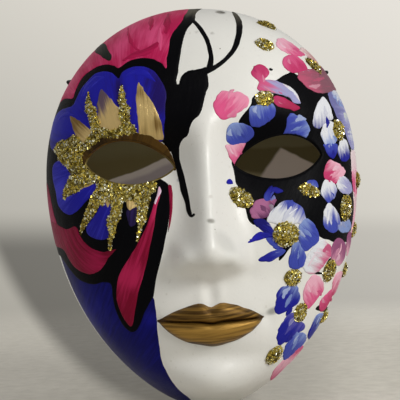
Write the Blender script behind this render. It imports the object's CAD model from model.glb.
"""A moulded white venetian mask, hand painted: a butterfly wing on one half, flowers on the other.

The skin is the same surface as the CAD shell's, drawn finer. Places on it are given as seen from the
front, across and up, in millimetres; paint, glue and glitter lie on it as thin closed films.
"""
import math

import bpy
import numpy as np
from mathutils import Matrix, Vector
from mathutils.geometry import delaunay_2d_cdt


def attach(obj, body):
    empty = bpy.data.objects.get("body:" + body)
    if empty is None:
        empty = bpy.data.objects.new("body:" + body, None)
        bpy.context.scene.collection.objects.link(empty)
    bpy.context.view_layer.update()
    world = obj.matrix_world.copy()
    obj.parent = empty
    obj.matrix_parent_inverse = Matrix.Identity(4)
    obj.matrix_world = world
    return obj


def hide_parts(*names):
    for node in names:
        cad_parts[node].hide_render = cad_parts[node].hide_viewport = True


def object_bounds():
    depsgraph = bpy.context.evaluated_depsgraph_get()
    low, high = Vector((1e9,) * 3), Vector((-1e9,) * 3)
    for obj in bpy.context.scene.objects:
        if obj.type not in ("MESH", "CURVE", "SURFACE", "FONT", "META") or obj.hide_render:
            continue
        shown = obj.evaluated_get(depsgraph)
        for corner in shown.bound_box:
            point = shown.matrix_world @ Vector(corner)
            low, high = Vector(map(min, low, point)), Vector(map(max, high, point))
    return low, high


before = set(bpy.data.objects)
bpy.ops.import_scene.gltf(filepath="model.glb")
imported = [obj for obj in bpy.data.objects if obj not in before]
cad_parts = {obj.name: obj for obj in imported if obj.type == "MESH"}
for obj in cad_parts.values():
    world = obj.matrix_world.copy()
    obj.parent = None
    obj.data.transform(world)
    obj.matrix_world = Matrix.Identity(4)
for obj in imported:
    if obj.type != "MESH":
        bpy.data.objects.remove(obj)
CAD_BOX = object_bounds()
MM = 0.001

# ---------------------------------------------------------------- the skin, as the CAD part defines it
WIDTH, DEPTH, WALL, FOOT, TOP, CENTRE = 160.0, 58.0, 3.0, -1.5, 203.5, 116.5
TOP_ROUNDNESS, CHIN_ROUNDNESS, CHIN_TAPER = 2.1, 1.9, 0.14
SIDE_FLATNESS, TOP_FLATNESS, CHIN_FLATNESS, RELIEF_FADE = 1.30, 1.52, 2.25, 0.12
CHIN, NOSE_BASE, BROW, EYE_LINE, MOUTH = 0.5, 70.5, 140.5, 123.0, 47.17
EYE_WIDTH, MOUTH_HALF, UPPER_LIP, LOWER_LIP = 30.0, 25.0, 9.0, 11.0
OPENING_X, OPENING_HALF, OPENING_UP, OPENING_DOWN, OPENING_TILT = 36.0, 21.0, 11.5, 9.0, 1.8
TIE_HEIGHT, TIE_INSET, TIE_HOLE_R, HANG_HOLE_R, HANG_PLACE = 168.5, 6.5, 2.1, 2.2, (12.0, 199.0)


def smooth_step(value):
    """0 below 0, 1 above 1, smooth between them."""
    clipped = np.clip(value, 0.0, 1.0)
    return clipped * clipped * (3 - 2 * clipped)


def unit(vectors):
    """Vectors brought to length one."""
    return vectors / np.maximum(np.linalg.norm(vectors, axis=-1, keepdims=True), 1e-9)


def swell(across, up, hump):
    """A soft hump, given as its height, its centre across and up, and its half widths."""
    height, centre, middle, wide, tall = hump
    return height * np.exp(-(((across - centre) / wide) ** 2) / 2 - ((up - middle) / tall) ** 2 / 2)


def outline(turn):
    """The rim at a turn about the dome's centre."""
    cosine, sine = np.cos(turn), np.sin(turn)
    roundness = np.where(sine > 0, TOP_ROUNDNESS, CHIN_ROUNDNESS)
    tall = np.where(sine > 0, TOP - CENTRE, CENTRE - FOOT)
    up = np.sign(sine) * np.abs(sine) ** (2 / roundness)
    side = np.sign(cosine) * np.abs(cosine) ** (2 / roundness)
    side = side * (1 - CHIN_TAPER * np.clip(-up, 0, 1) ** 4)
    return WIDTH / 2 * side, tall * up


RIM_X, RIM_Z = outline(np.linspace(-math.pi, math.pi, 1441))
RIM_ORDER = np.argsort(np.arctan2(RIM_Z, RIM_X))
RIM_ANGLES = np.arctan2(RIM_Z, RIM_X)[RIM_ORDER]
RIM_REACHES = np.hypot(RIM_X, RIM_Z)[RIM_ORDER]


def rim_reach(angle):
    """How far the rim is from the dome's centre at an angle."""
    return np.interp(angle, RIM_ANGLES, RIM_REACHES, period=2 * math.pi)


def dome_depth(share, angle):
    """How far forward the plain dome is, at a share of the way from its centre to the rim."""
    sine = np.sin(angle)
    flatness = SIDE_FLATNESS + (TOP_FLATNESS - SIDE_FLATNESS) * smooth_step(sine)
    flatness = flatness + (CHIN_FLATNESS - SIDE_FLATNESS) * smooth_step(-sine) ** 2
    lean = np.sqrt(np.clip(1 - share * share, 0, 1))
    return DEPTH * (1 - (1 - lean) ** flatness)


NOSE_HEIGHTS = [-12, -6, -2.5, 0.5, 4, 8, 12, 18, 26, 36, 46, 55, 64, 74, 86]
NOSE_STAND = [0, 0.6, 3.0, 10.0, 18.0, 22.0, 23.0, 20.8, 17.2, 13.4, 10.0, 7.6, 5.6, 2.8, 0]
NOSE_FINE = np.linspace(-22, 98, 481)
NOSE_SPREAD = np.exp(-(np.linspace(-8, 8, 65) ** 2) / (2 * 1.7**2))
NOSE_SOFT = np.convolve(
    np.interp(NOSE_FINE, NOSE_HEIGHTS, NOSE_STAND), NOSE_SPREAD / NOSE_SPREAD.sum(), mode="same"
)


def lip_lines(across):
    """The upper lip's top edge, the line between the lips and the lower lip's foot."""
    share = np.clip(np.abs(across) / MOUTH_HALF, 0, 1)
    line = MOUTH + 0.9 * share**2 - 0.7 * np.exp(-((across / 4.0) ** 2))
    bow = 1.9 * np.exp(-((across / 2.8) ** 2))
    top = line + UPPER_LIP * (1 - share**1.9) - bow * (1 - share)
    foot = line - LOWER_LIP * (1 - share**2.3) ** 0.85
    return top, line, foot


def lip_relief(across, up):
    """What the lips add to the mouth's swell."""
    top, line, foot = lip_lines(across)
    share = np.clip(np.abs(across) / MOUTH_HALF, 0, 1)
    fade = 1 - share**2.6
    above = (up - line) / np.maximum(top - line, 0.5)
    below = (line - up) / np.maximum(line - foot, 0.5)
    upper = np.clip(above, 0, 1) ** 0.45 * np.clip(1 - above, 0, 1) ** 0.75 * 1.9
    lower = np.clip(below, 0, 1) ** 0.5 * np.clip(1 - below, 0, 1) ** 0.8 * 1.9
    ledge = smooth_step((top - up) / 1.6) * smooth_step((up - foot) / 1.8)
    ledge = ledge * smooth_step((MOUTH_HALF + 1 - np.abs(across)) / 4)
    crease = np.exp(-((up - line) ** 2) / 2) * smooth_step((MOUTH_HALF + 2 - np.abs(across)) / 4)
    return (3.4 * upper + 4.4 * lower) * fade + 0.7 * ledge - 1.2 * crease


# The face's humps and hollows: height, then centre across and up, and half widths across and up.
BROWS_AND_CHEEKS = [
    (2.4, 26, BROW + 3, 20, 7), (1.2, 0, BROW + 8, 14, 10), (-9.5, EYE_WIDTH + 1, EYE_LINE + 2, 15, 11),
    (-3.0, 17, EYE_LINE + 2, 6, 9), (3.6, OPENING_X + 1, EYE_LINE - 2, 15, 9.5),
    (4.6, 46, EYE_LINE - 27, 17, 13), (-3.0, 45, MOUTH + 9, 14, 17),
]
NOSTRIL_WING, NOSTRIL_CREASE = (6.0, 12.6, NOSE_BASE + 7, 4.2, 5.0), (-1.6, 19, NOSE_BASE + 7, 2.8, 6)
MOUTH_SWELLS = [
    (4.6, 0, MOUTH + 3, 21, 15), (-1.2, 0, NOSE_BASE - 9.5, 2.4, 4.5), (0.6, 4.6, NOSE_BASE - 10.5, 2.0, 4.2),
]
CORNER_AND_CHIN = [
    (-1.3, MOUTH_HALF + 2.5, MOUTH + 0.8, 2.6, 3.4), (-2.8, 0, CHIN + 29, 15, 3.8), (8.0, 0, CHIN + 15, 15, 10),
]


def relief(across, up):
    """What the face adds to the plain dome, forward positive."""
    side = np.abs(across)
    low = smooth_step((NOSE_BASE + 33 - up) / 30)
    narrow = np.exp(-((side / (5.0 + 2.6 * low)) ** 2) / 2)
    broad = np.exp(-((side / (9.5 + 3.6 * low)) ** 2) / 2)
    nose = np.interp(up - NOSE_BASE, NOSE_FINE, NOSE_SOFT) * (0.5 * narrow + 0.5 * broad)
    wing = swell(side, up, NOSTRIL_WING) * smooth_step((up - NOSE_BASE + 3) / 7)
    parts = [swell(side, up, hump) for hump in BROWS_AND_CHEEKS] + [nose, wing]
    parts += [swell(side, up, hump) for hump in [NOSTRIL_CREASE] + MOUTH_SWELLS] + [lip_relief(across, up)]
    return sum(parts + [swell(side, up, hump) for hump in CORNER_AND_CHIN])


def skin_forward(across, up):
    """How far forward the skin is, for places seen from the front."""
    across = np.asarray(across, float)
    rise = np.asarray(up, float) - CENTRE
    angle = np.arctan2(rise, across)
    share = np.clip(np.hypot(across, rise) / rim_reach(angle), 0, 1)
    return dome_depth(share, angle) + relief(across, rise + CENTRE) * smooth_step((1 - share) / RELIEF_FADE)


def skin_sheet(sheet):
    """Points on the skin, in mm, for places on the flattened sheet: distance along the skin from CENTRE."""
    travel, angle = np.hypot(sheet[:, 0], sheet[:, 1]), np.arctan2(sheet[:, 1], sheet[:, 0])
    reach = rim_reach(angle)
    turn = travel / reach
    share = np.sin(np.minimum(turn, math.pi / 2))
    x, z = reach * share * np.cos(angle), CENTRE + reach * share * np.sin(angle)
    behind = np.maximum(turn - math.pi / 2, 0) * reach
    return np.stack([x, behind - skin_forward(x, z), z], 1)


def skin_normals(sheet, step=0.35):
    """Outward unit normals of the skin."""
    east = skin_sheet(sheet + (step, 0)) - skin_sheet(sheet - (step, 0))
    north = skin_sheet(sheet + (0, step)) - skin_sheet(sheet - (0, step))
    return unit(np.cross(east, north))


def sheet_places(front, margin=2.2):
    """Places on the sheet for places seen from the front, kept at least a margin from the rim."""
    front = np.asarray(front, float)
    rise = front[:, 1] - CENTRE
    angle = np.arctan2(rise, front[:, 0])
    reach = rim_reach(angle)
    share = np.clip(np.hypot(front[:, 0], rise) / reach, 0, 1)
    travel = np.minimum(reach * np.arcsin(share), reach * math.pi / 2 - margin)
    return np.stack([travel * np.cos(angle), travel * np.sin(angle)], 1)


def opening_edges(share):
    """Heights of an eye opening's two edges about the eye line, for shares of its half width."""
    span = np.clip(1 - share**2, 0, 1)
    upper = OPENING_UP * span**0.72 * (1 + 0.10 * share)
    lower = -OPENING_DOWN * span**0.78 * (1 + 0.12 * share)
    return upper + OPENING_TILT * share, lower + OPENING_TILT * share


def outwards(loop):
    """Directions across a loop at each of its places, to the outside if it runs anticlockwise."""
    tangent = np.roll(loop, -1, 0) - np.roll(loop, 1, 0)
    return unit(np.stack([tangent[:, 1], -tangent[:, 0]], 1))


def opening_loop(side, grow=0.0, corners=56):
    """The eye opening's edge seen from the front, counter-clockwise from the nose for +X, grown outwards."""
    shares = -np.cos(np.pi * np.arange(corners + 1) / corners)
    upper, lower = opening_edges(shares)
    rise = np.concatenate([lower, upper[-2:0:-1]])
    across = OPENING_X + OPENING_HALF * np.concatenate([shares, shares[-2:0:-1]])
    loop = np.stack([across, EYE_LINE + rise], 1)
    loop = loop + grow * outwards(loop)
    return loop if side > 0 else loop[::-1] * (-1, 1)


# ---------------------------------------------------------------- flat geometry on the sheet
def curve_through(before, here, after, beyond, share):
    """Places a share of the way from here to after, on a smooth curve through all four."""
    return 0.5 * (2 * here + (after - before) * share + (2 * before - 5 * here + 4 * after - beyond) * share**2
                  + (3 * here - before - 3 * after + beyond) * share**3)


def closed_curve(points, spacing):
    """A smooth closed curve through hand-placed points, evenly sampled."""
    share = np.linspace(0, 1, 12, endpoint=False)[:, None, None]
    curve = curve_through(*(np.roll(points, step, 0) for step in (1, 0, -1, -2)), share)
    return even_loop(curve.transpose(1, 0, 2).reshape(-1, 2), spacing)


def resampled(path, spacing, closed=True, least=8):
    """Places at even distances along a path, how far along it each one is, and its length."""
    if closed:
        path = np.vstack([path, path[:1]])
    lengths = np.concatenate([[0], np.cumsum(np.linalg.norm(np.diff(path, axis=0), axis=1))])
    count = max(least, int(round(lengths[-1] / spacing)))
    at = np.arange(count + (not closed)) * lengths[-1] / count
    return np.stack([np.interp(at, lengths, column) for column in path.T], 1), at, lengths[-1]


def even_loop(curve, spacing, wobble=0.0, rng=None, wave=3.5):
    """The closed curve with points at even distances, its edge unsteady by wobble if asked."""
    loop, at, around = resampled(curve, spacing)
    if wobble:
        waves = max(3, int(around / wave))
        knots = rng.normal(0, wobble, waves)
        shift = np.interp(at / around * waves, np.arange(waves + 1), np.append(knots, knots[0]))
        loop = loop + outwards(loop) * shift[:, None]
    return loop


def inside(places, loop):
    """Whether each place lies inside the closed loop."""
    x, y = places[:, :1], places[:, 1:]
    x0, y0 = loop[:, 0], loop[:, 1]
    x1, y1 = np.roll(x0, -1), np.roll(y0, -1)
    crosses = (y0 > y) != (y1 > y)
    height = np.where(y1 == y0, 1e-9, y1 - y0)
    return (crosses & (x < x0 + (y - y0) * (x1 - x0) / height)).sum(1) % 2 == 1


def loop_distance(places, loop):
    """Distance from each place to the nearest part of the closed loop."""
    start, run = loop, np.roll(loop, -1, 0) - loop
    best = np.full(len(places), 1e9)
    lengths = np.maximum((run**2).sum(1), 1e-12)
    for first in range(0, len(places), 4000):
        part = places[first:first + 4000, None, :] - start[None]
        share = np.clip((part * run).sum(2) / lengths, 0, 1)
        gap = part - share[:, :, None] * run
        best[first:first + 4000] = np.sqrt((gap**2).sum(2)).min(1)
    return best


def lattice(low, high, spacing):
    """A triangular lattice over a box."""
    rows = np.arange(low[1], high[1] + spacing, spacing * math.sqrt(3) / 2)
    columns = np.arange(low[0], high[0] + spacing, spacing)
    x, y = np.meshgrid(columns, rows)
    x = x + (np.arange(len(rows)) % 2)[:, None] * spacing / 2
    return np.stack([x.ravel(), y.ravel()], 1)


def triangulate(places, loops):
    """Triangles over the places that respect the loops' edges. Returns places and triangles."""
    edges, start, everything = [], 0, []
    for loop in loops:
        count = len(loop)
        edges += [(start + k, start + (k + 1) % count) for k in range(count)]
        everything.append(loop)
        start += count
    everything = np.vstack(everything + [places]) if len(places) else np.vstack(everything)
    spots, _, faces, *_ = delaunay_2d_cdt([Vector(p) for p in everything], edges, [], 0, 1e-5)
    return np.array([tuple(s) for s in spots]), np.array([f for f in faces if len(f) == 3])


def outside_all(places, faces, loops):
    """The triangles that lie in none of the loops."""
    middles = places[faces].mean(1)
    keep = np.ones(len(faces), bool)
    for loop in loops:
        close = np.flatnonzero(((middles > loop.min(0)) & (middles < loop.max(0))).all(1))
        keep[close] &= ~inside(middles[close], loop)
    return faces[keep]


def mesh_edges(faces):
    """The edges of a triangle mesh as pairs of rows, and the rows on its border."""
    ends = np.vstack([faces[:, [0, 1]], faces[:, [1, 2]], faces[:, [2, 0]]])
    pairs, counts = np.unique(np.sort(ends, 1), axis=0, return_counts=True)
    return pairs, pairs[counts == 1].ravel()


# ---------------------------------------------------------------- meshes
def make_object(name, points, faces, body="mask"):
    """A smooth piece from points in millimetres."""
    mesh = bpy.data.meshes.new(name)
    mesh.from_pydata((np.asarray(points) * MM).tolist(), [], [tuple(int(v) for v in f) for f in faces])
    mesh.shade_smooth()
    piece = bpy.data.objects.new(name, mesh)
    bpy.context.scene.collection.objects.link(piece)
    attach(piece, body)
    return piece


def set_attribute(piece, name, values, kind):
    """Stores one value for each vertex: kind is FLOAT, FLOAT_VECTOR or FLOAT_COLOR."""
    attribute = piece.data.attributes.new(name, kind, "POINT")
    field = {"FLOAT": "value", "FLOAT_VECTOR": "vector", "FLOAT_COLOR": "color"}[kind]
    attribute.data.foreach_set(field, np.asarray(values, np.float32).ravel())


def colour(red, green, blue):
    """A screen colour, 0 to 255, as linear light with alpha."""
    scaled = np.array([red, green, blue]) / 255
    linear = np.where(scaled <= 0.04045, scaled / 12.92, ((scaled + 0.055) / 1.055) ** 2.4)
    return (*linear.tolist(), 1.0)


# ---------------------------------------------------------------- materials
class Nodes:
    """Short calls for building the node tree of a new material, or of the world if it is given."""

    def __init__(self, name, world=None):
        self.material = world or bpy.data.materials.new(name)
        self.material.use_nodes = True
        self.tree = self.material.node_tree
        self.tree.nodes.clear()
        if not world:
            self.shader = self.add("ShaderNodeBsdfPrincipled")
            self.output = self.add("ShaderNodeOutputMaterial")
            self.link(self.shader.outputs[0], self.output.inputs["Surface"])

    def add(self, kind, **settings):
        """A new node with some of its properties set."""
        node = self.tree.nodes.new(kind)
        for key, value in settings.items():
            setattr(node, key, value)
        return node

    def link(self, source, target):
        """Joins a socket to an input, or gives the input a plain value."""
        if isinstance(source, bpy.types.NodeSocket):
            self.tree.links.new(source, target)
        else:
            target.default_value = source

    def attribute(self, name, output="Color"):
        return self.add("ShaderNodeAttribute", attribute_name=name).outputs[output]

    def math(self, operation, first, second=0.0, third=0.0):
        node = self.add("ShaderNodeMath", operation=operation)
        for socket, value in zip(node.inputs, (first, second, third)):
            self.link(value, socket)
        return node.outputs[0]

    def sum(self, first, share, second, other=1.0):
        """first * share + second * other."""
        return self.math("MULTIPLY_ADD", first, share, self.math("MULTIPLY", second, other))

    def vector(self, operation, first, second):
        node = self.add("ShaderNodeVectorMath", operation=operation)
        self.link(first, node.inputs[0])
        self.link(second, node.inputs[1])
        return node.outputs["Value" if operation == "DOT_PRODUCT" else "Vector"]

    def scaled(self, vector, scale):
        return self.vector("MULTIPLY", vector, scale)

    def noise(self, vector, scale=1.0, detail=3.0, rough=0.55, warp=0.0):
        node = self.add("ShaderNodeTexNoise")
        self.link(vector, node.inputs["Vector"])
        for key, value in (("Scale", scale), ("Detail", detail), ("Roughness", rough), ("Distortion", warp)):
            node.inputs[key].default_value = value
        return node.outputs["Fac"]

    def ramp(self, value, low, high):
        """0 below low, 1 above high, smooth between them."""
        node = self.add("ShaderNodeMapRange", interpolation_type="SMOOTHSTEP")
        self.link(value, node.inputs["Value"])
        self.link(low, node.inputs["From Min"])
        self.link(high, node.inputs["From Max"])
        return node.outputs["Result"]

    def span(self, value, low, high):
        """0..1 stretched to low..high."""
        node = self.add("ShaderNodeMapRange")
        self.link(value, node.inputs["Value"])
        node.inputs["To Min"].default_value = low
        node.inputs["To Max"].default_value = high
        return node.outputs["Result"]

    def stops(self, value, tones, interpolation="LINEAR"):
        """Tones along a value: each has its place from 0 to 1."""
        node = self.add("ShaderNodeValToRGB")
        self.link(value, node.inputs["Fac"])
        node.color_ramp.interpolation = interpolation
        elements = node.color_ramp.elements
        while len(elements) < len(tones):
            elements.new(0.5)
        for element, (at, tone) in zip(elements, tones):
            element.position = at
            element.color = colour(*tone)
        return node.outputs["Color"]

    def mix(self, share, first, second):
        node = self.add("ShaderNodeMix", data_type="RGBA")
        self.link(share, node.inputs["Factor"])
        self.link(first, node.inputs[6])
        self.link(second, node.inputs[7])
        return node.outputs[2]

    def bump(self, height, distance):
        node = self.add("ShaderNodeBump")
        node.inputs["Distance"].default_value = distance * MM
        self.link(height, node.inputs["Height"])
        return node.outputs[0]

    def place(self):
        """The rest position in millimetres."""
        return self.scaled(self.add("ShaderNodeTexCoord").outputs["Object"], (1 / MM,) * 3)

    def finish(self, **inputs):
        """Sets the shader's inputs and returns the material."""
        names = {"colour": "Base Color", "rough": "Roughness", "metal": "Metallic", "normal": "Normal",
                 "specular": "Specular IOR Level"}
        for key, value in inputs.items():
            self.link(value, self.shader.inputs[names[key]])
        return self.material

    def blend(self, share, first, second):
        """A mix of two shaders."""
        node = self.add("ShaderNodeMixShader")
        for value, socket in zip((share, first, second), node.inputs):
            self.link(value, socket)
        return node.outputs[0]

    def clear_where(self, share):
        """Makes the material see-through by a share, and returns it."""
        clear = self.add("ShaderNodeBsdfTransparent").outputs[0]
        self.link(self.blend(share, self.shader.outputs[0], clear), self.output.inputs["Surface"])
        return self.material


def shell_material():
    """Satin white over cast plaster: faint mottling, pinholes and a few grey smudges."""
    n = Nodes("white_satin")
    place = n.place()
    cloud = n.noise(place, 0.035, 4)
    fine = n.noise(place, 0.55, 3)
    grain = n.noise(place, 3.0, 2)
    base = n.mix(cloud, colour(243, 241, 236), colour(230, 230, 224))
    base = n.mix(n.ramp(fine, 0.62, 0.8), base, colour(222, 220, 212))
    pits = n.add("ShaderNodeTexVoronoi", feature="F1")
    n.link(place, pits.inputs["Vector"])
    pits.inputs["Scale"].default_value = 0.09
    pit = n.ramp(pits.outputs["Distance"], 0.045, 0.02)
    pit = n.math("MULTIPLY", pit, n.ramp(n.noise(place, 0.02, 1), 0.52, 0.6))
    base = n.mix(pit, base, colour(120, 112, 100))
    base = n.mix(n.attribute("smudge", "Fac"), base, n.attribute("smudge_tone"))
    rough = n.sum(n.span(cloud, 0.27, 0.40), 1.0, n.attribute("smudge", "Fac"), 0.2)
    height = n.math("SUBTRACT", n.sum(fine, 0.7, grain, 0.12), pit)
    return n.finish(colour=base, rough=rough, normal=n.bump(height, 0.10), specular=0.5)


def plaster_material():
    """The bare inside: warm grey plaster with cast wrinkles, fibres and handling marks."""
    n = Nodes("bare_plaster")
    place = n.place()
    cloud = n.noise(place, 0.045, 5, 0.6, 0.6)
    pulp = n.noise(place, 0.35, 5, 0.65, 1.2)
    grain = n.noise(place, 2.2, 3)
    strands = n.noise(n.scaled(place, (0.25, 1.2, 2.0)), 0.6, 3, 0.6, 2.0)
    base = n.mix(cloud, colour(214, 208, 194), colour(186, 178, 162))
    base = n.mix(n.ramp(pulp, 0.55, 0.75), base, colour(226, 222, 212))
    base = n.mix(n.ramp(strands, 0.60, 0.72), base, colour(160, 148, 128))
    height = n.sum(n.sum(pulp, 1.0, grain, 0.25), 1.0, strands, 0.5)
    return n.finish(colour=base, rough=n.span(pulp, 0.75, 0.95), normal=n.bump(height, 0.45), specular=0.25)


def paint_material(name, rough=(0.30, 0.5), contrast=0.5, streak=(0.10, 1.1), ridge=0.10, metal=0.0, tone=0.12,
                   specular=0.10):
    """Brushed paint. Each point carries two colours, `near` and `far`, and a place along and across its
    brush stroke in mm with the share of the second colour; bristle streaks break up the change."""
    n = Nodes(name)
    stroke = n.attribute("stroke", "Vector")
    share = n.attribute("share", "Fac")
    place = n.place()
    broad = n.noise(n.scaled(stroke, (streak[0], streak[1], 1)), 0.55, 2, 0.5, 0.3)
    bristle = n.noise(n.scaled(stroke, (streak[0] * 0.6, streak[1] * 3.2, 1)), 1.0, 3, 0.6, 0.15)
    blot = n.noise(place, 0.16, 3)
    swing = n.math("MULTIPLY", n.math("SUBTRACT", n.sum(broad, 0.65, bristle, 0.35), 0.5), 2.6 * contrast)
    level = n.math("ADD", share, swing)
    base = n.mix(n.ramp(level, 0.2, 0.8), n.attribute("near"), n.attribute("far"))
    thick = n.span(n.sum(bristle, 0.6, blot, 0.4), 1 - tone, 1 + tone)
    tinted = n.add("ShaderNodeVectorMath", operation="SCALE")
    n.link(base, tinted.inputs[0])
    n.link(thick, tinted.inputs["Scale"])
    height = n.sum(bristle, 1.0, n.noise(place, 1.3, 2), 0.35)
    return n.finish(
        colour=tinted.outputs[0], rough=n.span(n.sum(blot, 1.0, bristle, 0.2), *rough),
        normal=n.bump(height, ridge), metal=metal, specular=specular,
    )


def gel_material():
    """Dried glitter glue: cloudy olive gold, lumpy and wet looking."""
    n = Nodes("glitter_glue")
    place = n.place()
    lumps = n.noise(place, 0.9, 3, 0.6)
    specks = n.noise(place, 2.6, 2, 0.6)
    base = n.mix(n.ramp(lumps, 0.35, 0.65), colour(78, 66, 16), colour(164, 146, 52))
    base = n.mix(n.ramp(specks, 0.58, 0.66), base, colour(240, 230, 150))
    return n.finish(colour=base, rough=n.span(specks, 0.25, 0.5), metal=0.55,
                    normal=n.bump(n.math("ADD", lumps, specks), 0.35))


def flake_material():
    """Cut foil flakes, each with its own gold from its `flake` number."""
    n = Nodes("glitter_flakes")
    tones = [(0.0, (70, 58, 10)), (0.16, (134, 114, 32)), (0.3, (206, 182, 66)), (0.5, (244, 222, 106)),
             (0.68, (255, 245, 164)), (0.8, (255, 255, 230))]
    foil = n.stops(n.attribute("flake", "Fac"), tones, "CONSTANT")
    grain = n.noise(n.place(), 5.0, 2)
    base = n.mix(n.span(grain, 0.0, 0.25), foil, colour(120, 96, 20))
    return n.finish(colour=base, rough=n.span(grain, 0.16, 0.34), metal=0.75, normal=n.bump(grain, 0.05))


def cord_material():
    """Black braided elastic: matt threads, paler where they cross over."""
    n = Nodes("braided_cord")
    crown = n.attribute("crown", "Fac")
    fuzz = n.noise(n.place(), 4.0, 3, 0.65)
    base = n.mix(n.ramp(crown, 0.2, 0.95), colour(10, 10, 11), colour(44, 43, 46))
    base = n.mix(n.ramp(fuzz, 0.62, 0.8), base, colour(86, 84, 86))
    return n.finish(colour=base, rough=n.span(fuzz, 0.62, 0.9), specular=0.3, normal=n.bump(fuzz, 0.08))


WHITE_SATIN = shell_material()
PLASTER = plaster_material()
PAINT = paint_material("acrylic_paint")
BLACK_PAINT = paint_material("black_paint", rough=(0.34, 0.52), contrast=0.35, ridge=0.12, tone=0.3, specular=0.06)
GOLD_PAINT = paint_material("gold_paint", rough=(0.30, 0.46), contrast=0.6, streak=(0.08, 1.3), ridge=0.14,
    metal=0.6, tone=0.3, specular=0.4)
PETAL_PAINT = paint_material("petal_paint", rough=(0.36, 0.58), streak=(0.10, 0.75), ridge=0.16, tone=0.16)
GEL = gel_material()
FLAKES = flake_material()
CORD = cord_material()


# ---------------------------------------------------------------- the shell
SHELL_SPACING, BACK_GAP = 1.3, 0.35
SHEET_BOX, FINE_BOX = ((-130, -200), (130, 145)), ((-33, -96), (33, 6))


def shell_sheet(spacing, loops, centre_spacing=None):
    """Lattice places for the whole face, clear of the loops; finer round the nose and mouth if asked."""
    places = lattice(*SHEET_BOX, spacing)
    if centre_spacing:
        low, high = np.array(FINE_BOX)
        fine = lattice(low - 3, high + 3, centre_spacing)
        among, within = (((spots > low) & (spots < high)).all(1) for spots in (places, fine))
        places = np.vstack([places[~among], fine[within]])
    travel = np.hypot(places[:, 0], places[:, 1])
    limit = rim_reach(np.arctan2(places[:, 1], places[:, 0])) * math.pi / 2
    places = places[travel < limit - 0.9 * spacing]
    for loop in loops:
        low, high = loop.min(0) - 3, loop.max(0) + 3
        close = ((places > low) & (places < high)).all(1)
        keep = np.ones(len(places), bool)
        spots = places[close]
        keep[close] = ~inside(spots, loop) & (loop_distance(spots, loop) > 0.5 * spacing)
        places = places[keep]
    return places


def find_rows(places, wanted):
    """The row of each wanted place among the places."""
    rows = {tuple(place): k for k, place in enumerate(np.round(places, 4).tolist())}
    return np.array([rows[tuple(place)] for place in np.round(wanted, 4).tolist()])


def rim_loop(short, spacing):
    """The rim on the sheet, stopping short of the back plane by a distance."""
    angles = np.linspace(-math.pi, math.pi, 1441)[:-1]
    travel = rim_reach(angles) * math.pi / 2 - short
    return even_loop(np.stack([travel * np.cos(angles), travel * np.sin(angles)], 1), spacing)


def round_hole(centre, radius, corners=20):
    """A small round hole's edge on the sheet, round a place on the sheet."""
    turns = np.arange(corners) * 2 * math.pi / corners
    around = np.stack([np.cos(turns), np.sin(turns)], 1)
    ahead = skin_sheet(centre + (0.5, 0)) - skin_sheet(centre - (0.5, 0))
    aloft = skin_sheet(centre + (0, 0.5)) - skin_sheet(centre - (0, 0.5))
    stretch = (np.linalg.norm(ahead), np.linalg.norm(aloft))
    return centre + radius * around / stretch


def tie_hole_centre(side):
    """Where the tie hole's axis meets the skin, on the sheet."""
    travel = np.linspace(60, 130, 1401)
    angle = math.atan2(TIE_HEIGHT - CENTRE, side * 72)
    for _ in range(6):
        ray = np.stack([travel * math.cos(angle), travel * math.sin(angle)], 1)
        points = skin_sheet(ray)
        short = travel < rim_reach(angle) * math.pi / 2 - 1
        row = np.flatnonzero(short)[np.argmin(np.abs(points[short, 1] + TIE_INSET))]
        angle += (TIE_HEIGHT - points[row, 2]) / travel[row] * side
    return ray[row:row + 1]


OPENING_EDGE, HOLE_EDGE = 0.8, 0.35    # how far the wall is rounded off at an opening or the rim, and at a hole
# What each of the shell's edges is and the number of its wall's material: openings, tie holes, hanging hole, rim.
SHELL_EDGES = [("opening", 2), ("opening", 3), ("hole", 0), ("hole", 0), ("hole", 0), ("rim", 0)]


def wall_rings(edge, far, kind):
    """Rings of places that round the wall off between an outer edge and an inner one."""
    if kind == "rim":
        flat = edge * (1, 0, 1)
        radial = unit(flat - (0, 0, CENTRE))
        return [flat - radial * 0.24 + (0, -0.24, 0), flat - radial * OPENING_EDGE, flat - radial * (WALL - 0.5)]
    axis = unit((far - edge).mean(0))
    to_centre = edge.mean(0) - edge
    if kind == "opening":
        turn_in = OPENING_EDGE
        inwards = unit(np.cross(np.roll(edge, -1, 0) - np.roll(edge, 1, 0), axis))
        inwards = inwards * np.sign((inwards * to_centre).sum())
    else:
        turn_in = HOLE_EDGE
        inwards = unit(to_centre - (to_centre @ axis)[:, None] * axis)
    rings = [edge + (inwards * aside + axis * down) * turn_in
             for aside, down in ((0.3, 0.1), (0.75, 0.45), (1.0, 1.0))]
    return rings + [far + (inwards * aside - axis * down) * turn_in for aside, down in ((1.0, 0.9), (0.45, 0.2))]


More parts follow.
